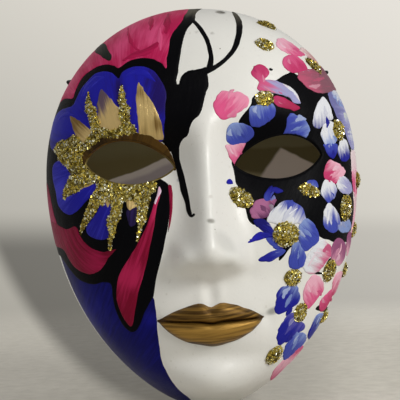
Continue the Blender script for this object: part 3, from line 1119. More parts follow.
# Petals of each flower: outline, colour at the foot, colour at the tip, how far over the foot colour
# goes (lower is further), and the direction in degrees in which the colour changes.
FLOWERS = {
    "forehead": [
        ((38,180, 39,183, 42,184, 46,182, 50,179, 53.4,175.8, 50.4,174.2, 46,174.8, 42,176, 39,178),
            PALE_PINK, PINK, 0.15, -40),
        ((41,168, 40.2,171, 42,173.6, 46,174.8, 49.4,173.4, 52.4,170, 53,167, 49,165.3, 44,165.4), PINK,
            ROSE_PINK, 0.1, -60),
        ((47,163, 49,166.2, 53,167.6, 57,168.4, 60.6,171, 64.4,169.6, 68.4,163, 70,158.4, 66,156.4,
            62,155.4, 57,155.2, 53,156.8, 50,159.4), colour(190, 88, 118), MAUVE_GREY, 0.15, 20),
        ((49.4,165.8, 53,163, 57.6,160.6, 62.6,160, 62,163, 57.6,165.4, 53.4,167.2), colour(206, 170, 190),
            MAUVE, 0.3, -30),
        ((50,178, 53.4,175.4, 58,172, 61,171.6, 59,175.6, 54,180), colour(226, 200, 200),
            colour(200, 150, 150), 0.2, -50),
    ],
    "brow": [
        ((24,164.5, 25,167, 27.2,169, 30,169.2, 32.2,167.7, 33.2,165, 31.4,162.6, 29.6,160, 28,156.6,
            26.6,157.4, 27,161), PINK, ROSE_PINK, 0.1, 100),
        ((27,156.6, 28,160.5, 31,161.8, 35,161.4, 39,160, 43,157, 46.4,153, 47.8,149.6, 44,150.3, 42,152.5,
            38,154, 33,155), PINK, LAVENDER, 0.25, -25),
        ((35,154, 40,152.6, 44,150.2, 47.2,147.6, 45,146.2, 40,147.2, 36,148.6, 33.6,151), ROSE_PINK,
            colour(176, 40, 84), 0.15, -30),
        ((22,148, 24,149.4, 28,150, 33,150.4, 35.2,147, 34,143, 31,141, 27,138.6, 23,139.3, 21.8,143), SKY,
            MID_BLUE, 0.3, -80),
    ],
    "brow_inner": [
        ((4.8,149.4, 6,152.6, 8,155.8, 11,156.8, 14,156, 18,156, 21.2,154, 22.4,151, 21.4,148.8, 19.4,147.2,
            17,146, 14,144.2, 11,142.6, 8.8,142.8, 6,145.2), colour(226, 88, 140), colour(240, 152, 182), 0.0, 50),
        ((10.5,134.5, 11,138.2, 13,140.8, 16,141.4, 20,140.4, 23.5,138.7, 24.4,135.5, 22,132.6, 18,131,
            14,130.4, 11.4,132), SKY, MID_BLUE, 0.25, -60),
        ((10.2,130.6, 14,131.2, 20,131.8, 19.4,129, 17,125.4, 15.5,121.4, 14.4,120.6, 12.4,124.4, 10.8,128),
            PALE_PINK, PINK, 0.15, -60),
    ],
    "brow_outer": [
        ((38.3,134.5, 39.6,138, 40.3,142, 42,145, 45,144.4, 49,142.2, 51.4,139.5, 52,136, 49,132.8, 45,133),
            SKY, MID_BLUE, 0.3, 200),
        ((53.3,139.5, 54,144, 56,149, 58.5,152.7, 60.6,153.4, 62.8,150.6, 64.4,146, 64.8,142.3, 62,141,
            59,138.8, 56,137.4), PETAL_WHITE, DEEP_BLUE, -0.25, -95),
    ],
    "temple": [
        ((57.3,134.6, 58.3,138, 61,141.2, 64,141.4, 66,138, 66.6,134, 65,130, 62,127.6, 59.4,129),
            PETAL_WHITE, SKY, -0.1, -80),
        ((58.4,129.4, 60,130.4, 64,130.6, 66.6,129.6, 65.4,124.6, 63.4,122.6, 61,124), MID_BLUE, DEEP_BLUE,
            0.1, -90),
        ((66.3,127, 67.6,131, 70,133, 72.4,131, 73.6,126, 72.4,122, 69.2,121.2, 66.8,123.8), PETAL_WHITE,
            DEEP_BLUE, 0.05, -80),
        ((63.6,156.8, 68.6,158.4, 74,151, 77,143, 78.4,134, 77.6,128, 75.4,127.6, 73.4,131, 71.6,135.4,
            70.6,139.6, 67.6,142.4, 65.4,147.4, 63.6,152), VIOLET_BLUE, LAVENDER, 0.0, 10),
        ((65.4,156, 68.6,158, 72.6,152.6, 73,148.6, 70.6,148.4, 67.6,151), PALE_LAVENDER, SKY, 0.1, -120),
        ((71.6,146.4, 76,146, 77.6,141, 75.4,139.4, 72.4,141.6), colour(206, 212, 210), LAVENDER, 0.1, -60),
        ((73.4,138, 77.4,138.6, 78.6,132, 77.4,127.4, 75.2,128.6, 73.8,132.6), PALE_LAVENDER, LAVENDER, 0.1,
            -90),
    ],
    "temple_lower": [
        ((57.4,114.6, 58.8,119, 61,122, 64,121.6, 68,119.4, 70.4,116, 66.4,111.6, 63,110, 59.8,111.4),
            PALE_PINK, ROSE_PINK, 0.0, 200),
        ((74.6,126, 79,126.4, 79.8,116, 79.2,104, 76.6,103, 75,110, 74.6,118), colour(232, 214, 218),
            PALE_PINK, 0.1, -80),
        ((74.8,116.6, 79.6,117, 79.6,109, 78.4,104.6, 75.8,105.6, 74.8,110), PALE_PINK, PINK, 0.3, -80),
        ((64.6,112, 66.8,114.3, 70,114, 73.4,110.4, 74.4,106.6, 71,104.8, 67,106, 65,108.6), PETAL_WHITE,
            LAVENDER, 0.2, -30),
        ((55.8,106.6, 57,111.2, 59.6,113, 62.2,112, 64.8,108, 63.8,104.6, 61,101.6, 59.2,100.8, 57,103.6),
            PETAL_WHITE, MID_BLUE, -0.05, -70),
        ((47.6,110, 50,112.8, 53.4,112.2, 54.8,109.2, 52,107.6, 49,107.6), SKY, MID_BLUE, 0.1, 60),
    ],
    "cheek_upper": [
        ((56.2,93, 57,97.2, 59,101.3, 61.2,100.8, 64,97.2, 66,93.8, 65.4,88.8, 62.5,86.2, 58.8,87.4,
            56.6,90), PETAL_WHITE, MID_BLUE, 0.1, -80),
        ((64.4,92, 68,91.6, 72,92.4, 73.6,88.4, 70,85.8, 65,87.2), colour(150, 156, 190), SKY, 0.2, -60),
        ((75.6,103, 78.6,103, 78.4,94, 76.6,85, 74.2,85.6, 75,92, 75.8,97), colour(226, 196, 202),
            PALE_PINK, 0.2, -85),
    ],
    "cheek": [
        ((20.8,98, 21.8,101.4, 24,104.2, 29,104.6, 33.4,104, 32.4,101, 30.4,97, 28,95.2, 24,94.6, 21,95.6),
            DEEP_MAUVE, colour(176, 108, 150), 0.25, 130),
        ((28.6,93.6, 29.6,97.6, 32.8,100.6, 36,102.8, 39.4,103.4, 43,102, 45.8,99.4, 46.9,96, 47.4,92.4,
            44,91.6, 38,92.6, 33,91.8), PETAL_WHITE, MID_BLUE, -0.12, 55),
        ((44.4,92.6, 47,94.6, 50,93, 53.4,88, 54,83.6, 50.4,80.2, 47.2,78.2, 44.8,80, 43.4,84, 43,88), SKY,
            MID_BLUE, 0.25, -45),
        ((21.6,94.6, 24,95.4, 27.6,94.6, 30.4,91, 31.4,87.6, 28.6,87, 25.4,89.6, 22.4,92.4), DEEP_BLUE,
            colour(22, 20, 110), 0.2, 150),
        ((42.4,84, 40.4,82, 39.2,78, 38.2,73.2, 39.6,70.2, 44,70, 46.4,72.6, 46.9,77, 44.6,81.6), SKY,
            MID_BLUE, 0.2, -100),
        ((18.6,84, 20.6,86, 22.4,87.4, 25.4,89, 29.6,87.8, 31,86.4, 27.4,85.6, 23,84.6), DEEP_BLUE, BLUE,
            0.2, 180),
        ((27.4,85.8, 31.4,85.8, 36,81.4, 33.4,79.8, 30,81.8), DEEP_BLUE, MID_BLUE, 0.2, 220),
        ((23.6,75.2, 26,77.4, 30,79.4, 35,80.4, 37,79, 33.4,76.2, 29,74.4), MID_BLUE, DEEP_BLUE, 0.2, 200),
        ((27.6,103.2, 27.6,106.6, 29.8,109.2, 33,110, 37,107.6, 34,106.4, 31.2,107.2, 30.6,103.4), MID_BLUE,
            DEEP_BLUE, 0.15, 60),
    ],
    "cheek_outer": [
        ((45.2,71, 47,75.4, 50,79.6, 53.2,83, 55.6,84, 58.2,82.4, 60.4,79, 60.9,76, 58,72.6, 55,69, 52,67.2,
            48,67.2), PETAL_WHITE, colour(206, 96, 136), -0.05, -30),
        ((60.2,77, 61.6,81.4, 64.4,84, 67.2,83, 70,79.2, 69.6,74, 67.2,70.4, 64,69.8, 61,73),
            colour(214, 150, 176), MAUVE, 0.25, 60),
        ((70.4,84, 72.6,86.4, 74.4,84, 74.2,78, 72,73.6, 70.6,76), PALE_PINK, MAUVE, 0.2, 80),
    ],
    "cheek_lower": [
        ((30.6,50.2, 31.4,55, 32.2,59.2, 35,61.8, 41.6,62.4, 43.4,59, 43.9,55.5, 42.4,53, 39,51, 36,49.4,
            33,48.8), SKY, DEEP_BLUE, 0.35, -120),
        ((45.2,56, 45.9,60.2, 48,64.4, 51,66.6, 54.2,65.4, 56.4,62, 56.4,58, 53.2,54.6, 50,51, 47.3,50),
            PALE_PINK, PINK, 0.05, -60),
        ((61.4,58, 61.8,62, 64,66, 67.2,66.6, 70,64, 68.4,59.8, 65,55.4, 61.6,54.6), ROSE_PINK, PALE_PINK,
            0.15, 60),
        ((54,50, 54.8,53.2, 58,56, 61.4,58, 62.6,55, 60.4,51, 57.6,47.6, 55,47.4), PINK, ROSE_PINK, 0.2,
            -60),
    ],
    "jaw": [
        ((31.5,36, 32.2,41, 35,45.4, 38,48.6, 41,48.6, 44.4,44.4, 46.6,41.5, 45.4,39.2, 41,37.4, 36,34.6,
            33,33), colour(96, 92, 176), DEEP_BLUE, 0.3, -130),
        ((34.8,26, 35.2,30, 37,34, 40,37, 42,39.4, 46,37.4, 48,35, 47,32, 43,28.4, 37,24.6), SKY, MID_BLUE,
            0.35, -120),
        ((48.2,35.5, 50.2,41, 53,46, 57,46, 59.4,43, 57.4,39, 54.4,34.6, 51,32), SKY, DEEP_BLUE, 0.3, -110),
        ((29.2,16, 30.8,20.4, 35,24.6, 38.4,25.6, 38.9,21, 36.2,17.2, 33,13.4, 30,12.6), PINK, PALE_PINK,
            0.2, 60),
        ((37.8,25, 40.8,28.4, 45,30.6, 47.4,28.4, 44.2,23.6, 40,19.6), PALE_PINK, PINK, 0.15, 40),
    ],
}
# Loose strokes and dots: path, widths and the two colours.
LOOSE = [
    ((10.2,112.8, 11.3,113.2, 12.4,112.6), [1.8, 2.8, 1.6], BLUE, DEEP_BLUE),
    ((33.5,166.9, 34.6,166.6), [1.3, 1.1], BLACK, SOFT_BLACK),
    ((39,159.6, 42.6,157.2, 45.6,154, 47.4,150.6), [0.6, 1.9, 1.7, 0.5], PETAL_WHITE, PALE_PINK),
    ((55.4,142, 56.8,147, 59.2,151), [1.0, 1.6, 0.8], PETAL_WHITE, colour(250, 250, 252)),
    ((30.6,97, 33.4,99.4, 37,101.4), [0.8, 1.7, 0.7], PETAL_WHITE, colour(250, 250, 252)),
    ((37.6,94, 39.6,97, 43.4,99.4), [0.7, 1.5, 0.6], colour(244, 246, 252), PETAL_WHITE),
    ((48,71, 50.4,75, 53.4,79.4), [0.8, 1.8, 0.8], PETAL_WHITE, PALE_PINK),
    ((58.4,91, 59.2,95, 60.4,98.6), [0.7, 1.6, 0.8], PETAL_WHITE, colour(250, 250, 252)),
    ((64,75, 66,78, 66.4,81), [0.6, 1.3, 0.6], PALE_PINK, PETAL_WHITE),
]


def along_petal(points, angle, bias):
    """The share of the second colour, rising across a petal in a direction."""
    aim = aim_of(angle)
    reach = points @ aim

    def level(front):
        return np.clip((front @ aim - reach.min()) / (reach.max() - reach.min()), 0, 1) * 0.9 + bias
    return level


def mixed(first, second, share):
    """A colour a share of the way from one to another."""
    return tuple((1 - share) * np.array(first) + share * np.array(second))


# What a petal's marks start from, what they are tinted with and how much, how far aside they are, and
# where along the petal they start and end.
MARKS = [("near", PETAL_WHITE, 0.3, -0.2, -0.42, 0.02), ("far", BLACK, 0.12, 0.2, 0.02, 0.42),
         ("near", "far", 0.4, 0.0, -0.3, 0.25)]


def brush_marks(points, near, far, angle, rng):
    """A few broad soft brush strokes over a petal, a little paler or darker than what they cross."""
    aim = aim_of(angle)
    aside = np.array([-aim[1], aim[0]])
    length, width = np.ptp(points @ aim), np.ptp(points @ aside)
    tones = {"near": near, "far": far}
    for base, tint, amount, offset, first, last in MARKS:
        base, tint = tones[base], tones.get(tint, tint)
        offset += rng.uniform(-0.1, 0.1)
        foot, tip = first + rng.uniform(0, 0.1), last - rng.uniform(0, 0.1)
        path = [points.mean(0) + aim * length * at + aside * width * offset * spread
                for at, spread in ((foot, 0.6), ((foot + tip) / 2, 1.05), (tip, 0.9))]
        broad = width * rng.uniform(0.15, 0.26)
        tone = mixed(base, tint, amount)
        yield ribbon(path, [0.4 * broad, max(broad, 0.8), 0.4 * broad]), tone, mixed(tone, base, 0.8)


def paint_flowers():
    """Black ground round the opening, then the petals flower by flower."""
    film("eye_patch", [
        film_patch(EYE_PATCH, BLACK, SOFT_BLACK, ("line", 60), 0.2, 0.12, seed=31, wobble=0.25),
    ] + [
        film_patch(points, BLACK, SOFT_BLACK, ("line", 40), 0.2, 0.12, 0.7, 0.1, seed=32 + k)
        for k, points in enumerate(DARK_STROKES)
    ], BLACK_PAINT)
    seed = 60
    for flower, petals in FLOWERS.items():
        patches = []
        for layer, (numbers, near, far, bias, angle) in enumerate(petals):
            points = spots_of(*numbers)
            seed += 1
            lift = 0.24 + 0.05 * (layer % 3)
            patches.append(film_patch(points, near, far, ("line", angle), along_petal(points, angle, bias), lift,
                0.7, 0.2, crown=0.05, ridge=0.05, margin=1.8, seed=seed, wave=1.9))
            rng = np.random.default_rng(seed)
            on_side = points[:, 0].mean() > FACE_HALF
            for mark, tone, edge_tone in [] if on_side else brush_marks(points, near, far, angle, rng):
                patches.append(film_patch(mark, tone, edge_tone, ("line", angle), 0.45, lift + 0.12, 0.5, 0.16,
                    ridge=0.03, margin=1.8, seed=seed, curve=False, wave=1.2))
        film("petals_" + flower, patches, PETAL_PAINT)
    film("petal_strokes", [
        film_patch(ribbon(spots_of(*path), widths), near, far, ("line", 50), 0.3, 0.42, 0.55, 0.05, ridge=0.03,
            seed=130 + k, curve=False)
        for k, (path, widths, near, far) in enumerate(LOOSE)
    ], PETAL_PAINT)


paint_flowers()


# ---------------------------------------------------------------- glitter
FLAKE_SIDE, FLAKE_THICK, GLUE_SPACING = 0.56, 0.07, 0.62
GLITTER_SPARE = 1.0
# Height of the dome and raggedness of the edge; the bands have their own heights.
HEART_GLUE, RAY_GLUE, BAND_RAGGED = (1.5, 0.18), (1.15, 0.45), 0.4


def hull(places):
    """The convex outline of places, anticlockwise."""
    places = sorted(map(tuple, np.round(places, 5)))

    def half(run):
        chain = []
        for p in run:
            while len(chain) > 1 and (
                (chain[-1][0] - chain[-2][0]) * (p[1] - chain[-2][1])
                - (chain[-1][1] - chain[-2][1]) * (p[0] - chain[-2][0])
            ) <= 0:
                chain.pop()
            chain.append(p)
        return chain[:-1]
    return np.array(half(places) + half(places[::-1]))


def node_outline(node):
    """The outline on the sheet of a CAD glue deposit."""
    points = np.array([v.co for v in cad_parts[node].data.vertices]) / MM
    return even_loop(hull(sheet_places(points[:, [0, 2]], 1.0)), 0.6)


def flake_cloud(spots, heights, rng):
    """Small six-sided foil flakes lying at all tilts on the given places."""
    points, lean = skin_sheet(spots), skin_normals(spots)
    count = len(spots)
    tilt = unit(lean + rng.normal(0, 0.5, (count, 3)))
    across = unit(np.cross(tilt, rng.normal(0, 1, (count, 3))))
    beside = np.cross(tilt, across)
    turns = (np.arange(6) * math.pi / 3)[None, :, None]
    radius = FLAKE_SIDE * rng.uniform(0.62, 1.15, count)[:, None, None]
    ring = radius * (across[:, None] * np.cos(turns) + beside[:, None] * np.sin(turns))
    ring = ring + (points + lean * heights[:, None])[:, None]
    half = tilt[:, None] * FLAKE_THICK / 2
    vertices = np.concatenate([ring + half, ring - half], 1).reshape(-1, 3)
    faces = [(0, 1, 2), (0, 2, 3), (0, 3, 4), (0, 4, 5), (8, 7, 6), (9, 8, 6), (10, 9, 6), (11, 10, 6)]
    for k in range(6):
        beyond = (k + 1) % 6
        faces += [(k, k + 6, beyond + 6), (k, beyond + 6, beyond)]
    faces = (np.array(faces)[None] + 12 * np.arange(count)[:, None, None]).reshape(-1, 3)
    return vertices, faces, np.repeat(rng.random(count), 12)


def glitter(name, outline_loop, dome, ragged, seed, nodes=(), cover=1.15):
    """Glue with foil flakes: a lumpy closed deposit inside an outline on the sheet, crowded with flakes."""
    rng = np.random.default_rng(seed)
    spacing = GLUE_SPACING * 1.0
    loop = even_loop(outline_loop, 0.8 * spacing, ragged, rng)
    loops = [loop] + [eye for eye in EYE_LOOPS if (np.abs(loop.mean(0) - eye.mean(0)) < 60).all()]
    spots, faces, border, _ = sheet_patch(loops, spacing)

    def height(where):
        gap = np.min([loop_distance(where, edge) for edge in loops], 0)
        return dome * (0.35 * smooth_step(gap / 0.8) + 0.65 * smooth_step(gap / 3.2))
    rise = height(spots) + rng.normal(0, 0.10, len(spots)) + 0.1
    rise[border] = EDGE_LOWEST
    solid, gel_faces, _ = closed_skin(spots, faces, border, rise)

    x, y = loop.T
    area = 0.5 * abs(np.sum(x * np.roll(y, -1) - np.roll(x, -1) * y))
    count = int(area * cover / (2.2 * FLAKE_SIDE**2) / GLITTER_SPARE)
    seeds = rng.uniform(loop.min(0), loop.max(0), (count * 6, 2))
    seeds = seeds[inside(seeds, loop)]
    for edge in loops[1:]:
        seeds = seeds[~inside(seeds, edge)]
    seeds = seeds[:count]
    flakes, flake_faces, numbers = flake_cloud(seeds, height(seeds) + rng.uniform(0.08, 0.3, len(seeds)), rng)
    piece = make_object(name, np.vstack([solid, flakes]), np.vstack([gel_faces, flake_faces + len(solid)]))
    piece.data.materials.append(GEL)
    piece.data.materials.append(FLAKES)
    is_flake = np.repeat([0, 1], (len(gel_faces), len(flake_faces))).astype(np.int32)
    piece.data.polygons.foreach_set("material_index", is_flake)
    piece.data.polygons.foreach_set("use_smooth", is_flake == 0)
    set_attribute(piece, "flake", np.concatenate([np.zeros(len(solid)), numbers]), "FLOAT")
    if nodes:
        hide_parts(*nodes)


# Glitter that is spread thin between the CAD's own deposits, seen from the front.
GLITTER_BANDS = {
    "glitter_brow_band": (spots_of(-58,135, -54.4,139, -53.4,144, -52,148, -50,144.6, -47,141.6, -43,140.6,
        -39.4,143.4, -36.4,148, -34,144, -32,140, -31.4,137, -36,137.4, -44,137, -51,135, -56,131.4), 0.7),
    "glitter_temple_band": (spots_of(-62,139, -66,138, -69,137.6, -72.6,135, -73.6,132.6, -71.4,130, -72,127.4,
        -68,125, -66,122, -64.6,118, -66,113.4, -69.6,108, -66,109.6, -60,112.4, -54.4,114.4, -50,116.6, -50,119,
        -54,121.6, -57.6,124, -58.4,128, -57,132, -58,136), 0.8),
    "glitter_lower_band": (spots_of(-53,117.6, -52,114, -54,110.4, -52.4,107, -49.4,104, -47,107.4, -45.4,103,
        -42.4,100, -40.4,104.6, -38,106, -34.6,105.6, -33,101.6, -30,102.4, -27.6,107.4, -24.4,110.6, -24,116,
        -32,117.6, -40,117.9, -48,119.4), 0.7),
}


def lay_glitter():
    """Glitter for each of the CAD's glue deposits, then the thinner bands between them."""
    seed = 200
    for node in sorted(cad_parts):
        if node.startswith("glitter_"):
            seed += 1
            dome, ragged = HEART_GLUE if node.startswith("glitter_dab_") else RAY_GLUE
            name = node.replace("glitter_dab_", "heart_").replace("glitter_ray_", "ray_")
            glitter(name, node_outline(node), dome, ragged, seed, [node])
    for name, (points, dome) in GLITTER_BANDS.items():
        seed += 1
        glitter(name, sheet_places(closed_curve(points, 0.6)), dome, BAND_RAGGED, seed, cover=0.95)


lay_glitter()


# ---------------------------------------------------------------- cords
LOOP_CORD_R, HEAD_CORD_R, CORD_GAP = 0.9, 1.0, 0.3
LOOP_BEHIND, LOOP_INSIDE, LOOP_OUTSIDE, LOOP_CORNER_R, LOOP_KNOT_TURNS = 5.2, 7.4, 1.3, 2.0, 2
HOOK_R, HOOK_INSIDE, HOOK_LENGTH, KNOT_START, KNOT_TURNS, CORD_DROP = 2.8, 2.5, 7.0, 9.0, 3, 120.0
STRANDS, BRAID_LAY, BRAID_STEP = 5, 6.0, 0.42


def braid(points, radius, closed=False, sides=15):
    """A braided round cord along a path: strands wound both ways, each riding over the other in turn."""
    path = resampled(np.asarray(points, float), BRAID_STEP, closed, 6)[0]
    run = unit(np.roll(path, -1, 0) - np.roll(path, 1, 0) if closed else np.gradient(path, axis=0))
    side = np.zeros_like(run)
    start = np.cross(run[0], (0.31, 0.62, 0.72))
    for k, ahead in enumerate(run):
        side[k] = start = unit(start - ahead * (start @ ahead))
    over = np.cross(run, side)
    turns = np.arange(sides) * 2 * math.pi / sides
    distance = np.arange(len(path))[:, None] * np.linalg.norm(path[1] - path[0])
    length = distance[-1, 0]
    lay = math.pi * np.round(length / BRAID_LAY + 1) / max(length, 1) * distance
    crown = np.maximum(np.cos(STRANDS * (turns + lay)), np.cos(STRANDS * (turns - lay)))
    around = side[:, None] * np.cos(turns)[None, :, None] + over[:, None] * np.sin(turns)[None, :, None]
    tube = path[:, None] + around * (radius * (0.90 + 0.09 * crown))[:, :, None]
    rows, faces = len(path), []
    for k in range(rows if closed else rows - 1):
        a, b = k * sides, ((k + 1) % rows) * sides
        faces += [(a + j, a + (j + 1) % sides, b + (j + 1) % sides, b + j) for j in range(sides)]
    solid, crowns = tube.reshape(-1, 3), crown.ravel()
    for end, way in () if closed else ((0, -1), (rows - 1, 1)):
        solid = np.vstack([solid, path[end] + way * run[end] * radius * 0.25])
        crowns = np.append(crowns, 0.0)
        row = [end * sides + j for j in range(sides)][::way]
        faces += [(len(solid) - 1, row[j], row[(j + 1) % sides]) for j in range(sides)]
    return solid, faces, crowns


def cord(name, points, radius, nodes, body="mask", closed=False):
    """A braided piece in place of CAD nodes."""
    solid, faces, crowns = braid(points, radius, closed)
    piece = make_object(name, solid, faces, body)
    set_attribute(piece, "crown", crowns * 0.5 + 0.5, "FLOAT")
    piece.data.materials.append(CORD)
    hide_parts(*nodes)


def wall_outside():
    """How far out the rim is, level with the tie holes."""
    across, up = outline(np.linspace(0, math.pi / 2, 721))
    return float(np.interp(TIE_HEIGHT - CENTRE, up, across))


def tie_loop_path(side):
    """The small loop through a tie hole and round the rim."""
    inner, outer = wall_outside() - LOOP_INSIDE, wall_outside() + LOOP_OUTSIDE
    points = []
    corners = [(outer, LOOP_BEHIND), (inner, LOOP_BEHIND), (inner, -TIE_INSET), (outer, -TIE_INSET)]
    for corner, (x, y) in enumerate(corners):
        centre_x = x + (LOOP_CORNER_R if x == inner else -LOOP_CORNER_R)
        centre_y = y + (LOOP_CORNER_R if y == -TIE_INSET else -LOOP_CORNER_R)
        for angle in (math.pi / 2 * (corner + step / 6) for step in range(7)):
            points.append((side * (centre_x + LOOP_CORNER_R * math.cos(angle)),
                           centre_y + LOOP_CORNER_R * math.sin(angle), TIE_HEIGHT))
    return points


def coil_path(centre, axes, halves, pitch, turns):
    """An elliptical coil: axes are across, deep and along."""
    angle = np.arange(28 * turns + 1)[:, None] * 2 * math.pi / 28
    return (np.array(centre) + axes[0] * halves[0] * np.cos(angle) + axes[1] * halves[1] * np.sin(angle)
            + axes[2] * pitch * angle / (2 * math.pi))


def hook_path(side):
    """The head cord's end: up, over the tie loop and back down beside itself."""
    x, apart = side * (wall_outside() - HOOK_INSIDE), HEAD_CORD_R + CORD_GAP / 2
    foot = KNOT_START + (KNOT_TURNS + 0.6) * (2 * HEAD_CORD_R + CORD_GAP)
    arc = [math.radians(-15 + 210 * k / 20) for k in range(21)]
    run = [(apart, -foot), (apart, -HOOK_LENGTH)] + [(HOOK_R * math.cos(a), HOOK_R * math.sin(a)) for a in arc]
    run += [(-apart, -HOOK_LENGTH), (-apart, -foot)]
    return [(x, LOOP_BEHIND + deep, TIE_HEIGHT + rise) for deep, rise in run]


def tie_cords():
    """Both tie loops with their knots, and the head cord with its own."""
    east, north, up = np.eye(3)
    for name, side in (("right", -1), ("left", 1)):
        cord("loop_" + name, tie_loop_path(side), LOOP_CORD_R, ["tie_loop_" + name], closed=True)
        pitch = 2 * LOOP_CORD_R + CORD_GAP
        rear = LOOP_BEHIND - LOOP_CORNER_R - LOOP_CORD_R - LOOP_KNOT_TURNS * pitch
        winding = coil_path((side * (wall_outside() - LOOP_INSIDE), rear, TIE_HEIGHT), (east, up, north),
                            (pitch, pitch), pitch, LOOP_KNOT_TURNS)
        cord("loop_knot_" + name, winding, LOOP_CORD_R, ["tie_loop_knot_" + name])
        pitch = 2 * HEAD_CORD_R + CORD_GAP
        foot = TIE_HEIGHT - KNOT_START - KNOT_TURNS * pitch
        winding = coil_path((side * (wall_outside() - HOOK_INSIDE), LOOP_BEHIND, foot), (east, north, up),
                            (pitch, 1.5 * pitch), pitch, KNOT_TURNS)
        cord("cord_knot_" + name, winding, HEAD_CORD_R, ["elastic_knot_" + name], "head_cord")
    right, left = hook_path(-1), hook_path(1)[::-1]
    half_span, deep, start = right[-1]
    drop = CORD_DROP - (TIE_HEIGHT - start)
    swing = [math.pi * k / 72 for k in range(1, 72)]
    sweep = [(half_span * math.cos(a), deep, start - drop * math.sin(a)) for a in swing]
    cord("head_cord_elastic", right + sweep + left, HEAD_CORD_R, ["head_elastic"], "head_cord")


tie_cords()


# ---------------------------------------------------------------- stage, light and camera
CAMERA_TURN, CAMERA_ROLL, CAMERA_AWAY = -1.8, -2.3, 650.0
CAMERA_AIM, CAMERA_LENS = (-2.38, -35.0, 105.08), 118.57
FLOOR_R, FLOOR_GAP, FLOOR_FADE, AMBIENT = 1500.0, 0.2, (260.0, 760.0), 0.34


def camera_place():
    """The main camera's place in millimetres."""
    turn = math.radians(CAMERA_TURN)
    return Vector(CAMERA_AIM) + Vector((math.sin(turn), -math.cos(turn), 0)) * CAMERA_AWAY


BACKGROUND_TONES = ((0.0, (158, 154, 144)), (0.4, (190, 187, 178)), (0.7, (216, 212, 203)), (1.0, (230, 226, 218)))
# The slopes of a direction out of the camera, made into places across and down the mask in half widths.
VIEW_ACROSS, VIEW_DOWN = (8.22, -0.33, -0.292), (-0.245, -5.85, 0.052)


def nearby_shade(n, way):
    """How light the backdrop is around the mask, for a direction out of the camera: a soft shadow falls to
    the left."""
    def product(first, *others):
        for other in others:
            first = n.math("MULTIPLY", first, other)
        return first
    parts = n.add("ShaderNodeSeparateXYZ")
    n.link(way, parts.inputs[0])
    a = n.math("DIVIDE", parts.outputs["X"], parts.outputs["Y"])
    b = n.math("DIVIDE", parts.outputs["Z"], parts.outputs["Y"])
    across, down = (n.math("MULTIPLY_ADD", a, by_a, n.math("MULTIPLY_ADD", b, by_b, plus))
                    for by_a, by_b, plus in (VIEW_ACROSS, VIEW_DOWN))
    away = n.math("SQRT", n.math("ADD", product(across, across), product(down, down)))
    on_left = n.ramp(across, 0.4, -0.1)
    below = n.math("MULTIPLY_ADD", down, 0.44, away)
    cast = product(n.ramp(below, 1.52, 1.38), n.ramp(down, 0.08, 0.28), on_left, 0.6)
    beside = product(n.ramp(across, 0.2, 0.4), n.ramp(down, 0.08, 0.2), n.ramp(down, 0.56, 0.46), 0.15)
    near_left = product(on_left, n.ramp(down, 0.7, 0.95), 0.2)
    near_right = product(n.ramp(across, 0.5, 1.05), n.ramp(down, 0.47, 0.62), 0.36)
    change = n.math("SUBTRACT", n.math("ADD", near_left, near_right), n.math("ADD", cast, beside))
    ahead = n.math("GREATER_THAN", parts.outputs["Y"], 0.0)
    in_front = product(ahead, n.ramp(n.math("ABSOLUTE", across, 0.0), 2.4, 1.4))
    return n.math("ADD", 1.0, product(change, in_front))


def floor_material():
    """A pale seamless floor whose far part fades into the background."""
    n = Nodes("pale_floor")
    place = n.place()
    weave = n.noise(place, 0.12, 4, 0.6)
    shade = nearby_shade(n, n.vector("SUBTRACT", place, camera_place()))
    n.link(n.scaled(n.mix(weave, colour(176, 172, 162), colour(208, 204, 194)), shade), n.shader.inputs["Base Color"])
    n.shader.inputs["Roughness"].default_value = 0.9
    n.link(n.bump(weave, 0.6), n.shader.inputs["Normal"])
    length = n.add("ShaderNodeVectorMath", operation="LENGTH")
    n.link(place, length.inputs[0])
    return n.clear_where(n.ramp(length.outputs["Value"], *FLOOR_FADE))


def backing_material():
    """A folded sheet close behind the hollow, seen from the front only and letting light through from behind."""
    n = Nodes("folded_backing")
    place = n.place()
    parts = n.add("ShaderNodeSeparateXYZ")
    n.link(place, parts.inputs[0])
    ripple = n.math("MULTIPLY", n.math("SUBTRACT", n.noise(place, 0.08, 2), 0.5), 3.0)
    across, up = parts.outputs["X"], n.math("ADD", parts.outputs["Z"], ripple)

    def side_of(lean, level, width):
        """1 below the line up = level + lean * across, 0 above it."""
        line = n.math("MULTIPLY_ADD", across, lean, level)
        return n.ramp(n.math("SUBTRACT", line, up), -width, width)
    left = n.mix(side_of(0.1, 134, 4.0), colour(134, 128, 96), colour(124, 114, 78))
    lit_fold = n.mix(side_of(0.35, 130.2, 1.4), colour(236, 230, 234), colour(196, 188, 202))
    left = n.mix(side_of(0.35, 133.8, 0.5), left, lit_fold)
    right = n.mix(side_of(0.0, 131.0, 1.0), colour(108, 102, 76), colour(90, 82, 52))
    right = n.mix(side_of(-0.1, 120.5, 1.5), right, colour(146, 138, 112))
    lit_flap = n.math("MULTIPLY", side_of(-0.56, 154.2, 0.7), side_of(1.3, 75.9, 1.6))
    right = n.mix(lit_flap, right, colour(202, 192, 190))
    n.link(n.mix(n.ramp(across, -1.0, 1.0), left, right), n.shader.inputs["Base Color"])
    n.shader.inputs["Roughness"].default_value = 0.9
    path = n.add("ShaderNodeLightPath")
    behind = n.add("ShaderNodeNewGeometry").outputs["Backfacing"]
    hidden = n.math("MAXIMUM", behind, path.outputs["Is Shadow Ray"])
    return n.clear_where(hidden)


def stage_object(name, points, faces, material):
    """A piece of the stage, which isn't part of the mask."""
    mesh = bpy.data.meshes.new(name)
    mesh.from_pydata([tuple(MM * v for v in p) for p in points], [], faces)
    mesh.materials.append(material)
    piece = bpy.data.objects.new(name, mesh)
    bpy.context.scene.collection.objects.link(piece)


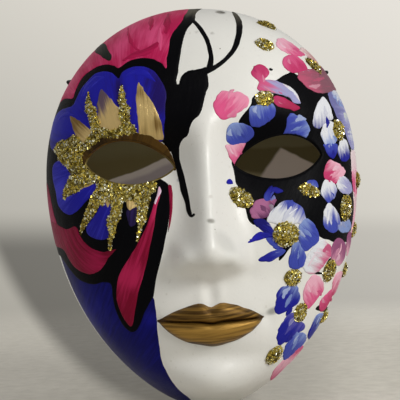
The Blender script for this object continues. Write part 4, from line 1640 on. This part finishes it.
def build_stage():
    """The floor, and the backing inside the mask that is seen through the eye openings."""
    ground = CAD_BOX[0][2] / MM - FLOOR_GAP
    turns = np.arange(64) * 2 * math.pi / 64
    stage_object("floor", [(FLOOR_R * math.cos(t), FLOOR_R * math.sin(t), ground) for t in turns],
                 [tuple(range(64))], floor_material())
    x, z = outline(np.arange(48) * 2 * math.pi / 48)
    stage_object("backing", [(0.82 * a, 1.2, CENTRE + 0.86 * b) for a, b in zip(x, z)], [tuple(range(48))],
                 backing_material())


def area_light(name, place, aim, size, power, tone, glossy=False):
    """A round light aimed at a place; one that isn't glossy makes no highlights."""
    data = bpy.data.lights.new(name, "AREA")
    data.shape, data.size, data.energy, data.color = "DISK", size, power, tone
    light = bpy.data.objects.new(name, data)
    light.location = place
    light.visible_glossy = glossy
    light.rotation_euler = (Vector(aim) - Vector(place)).to_track_quat("-Z", "Y").to_euler()
    bpy.context.scene.collection.objects.link(light)


def build_light():
    """A pale background for the camera, an even glow for everything else, and four soft lights."""
    world = bpy.data.worlds.new("studio")
    bpy.context.scene.world = world
    n = Nodes("world", world)
    across_view = n.add("ShaderNodeTexCoord").outputs["Window"]
    tones = n.stops(n.vector("DOT_PRODUCT", across_view, (0.35, 0.65, 0)), BACKGROUND_TONES)
    seen, light = n.add("ShaderNodeBackground"), n.add("ShaderNodeBackground")
    n.link(tones, seen.inputs[0])
    n.link(nearby_shade(n, n.add("ShaderNodeTexCoord").outputs["Generated"]), seen.inputs[1])
    light.inputs[0].default_value = (1.0, 0.985, 0.96, 1.0)
    light.inputs[1].default_value = AMBIENT
    by_camera = n.add("ShaderNodeLightPath").outputs["Is Camera Ray"]
    n.link(n.blend(by_camera, light.outputs[0], seen.outputs[0]), n.add("ShaderNodeOutputWorld").inputs[0])
    area_light("key", (0.60, -0.68, 0.52), (0, 0, 0.11), 0.34, 5.0, (1.0, 0.99, 0.96), True)
    area_light("kicker", (0.85, -0.45, 0.10), (0, 0, 0.07), 0.4, 0.5, (1.0, 0.99, 0.97))
    area_light("fill", (-0.75, -0.6, 0.35), (0, 0, 0.11), 0.6, 0.6, (0.98, 0.99, 1.0))
    area_light("rear", (-0.35, 0.8, 0.45), (0, 0, 0.10), 0.7, 3.6, (1.0, 0.99, 0.97))


def build_camera():
    """The camera, level and slightly rolled, in front of the mask."""
    data = bpy.data.cameras.new("camera")
    data.lens, data.sensor_width, data.clip_start = CAMERA_LENS, 36, 0.01
    camera = bpy.data.objects.new("camera", data)
    turn, roll = math.radians(CAMERA_TURN), math.radians(CAMERA_ROLL)
    back = Vector((math.sin(turn), -math.cos(turn), 0))
    right = Vector((0, 0, 1)).cross(back).normalized()
    up = back.cross(right)
    across = right * math.cos(roll) + up * math.sin(roll)
    above = up * math.cos(roll) - right * math.sin(roll)
    turned = Matrix((across, above, back)).transposed().to_4x4()
    camera.matrix_world = Matrix.Translation(camera_place() * MM) @ turned
    bpy.context.scene.collection.objects.link(camera)
    bpy.context.scene.camera = camera


build_stage()
build_light()
build_camera()
bpy.context.scene.view_settings.view_transform = "Standard"
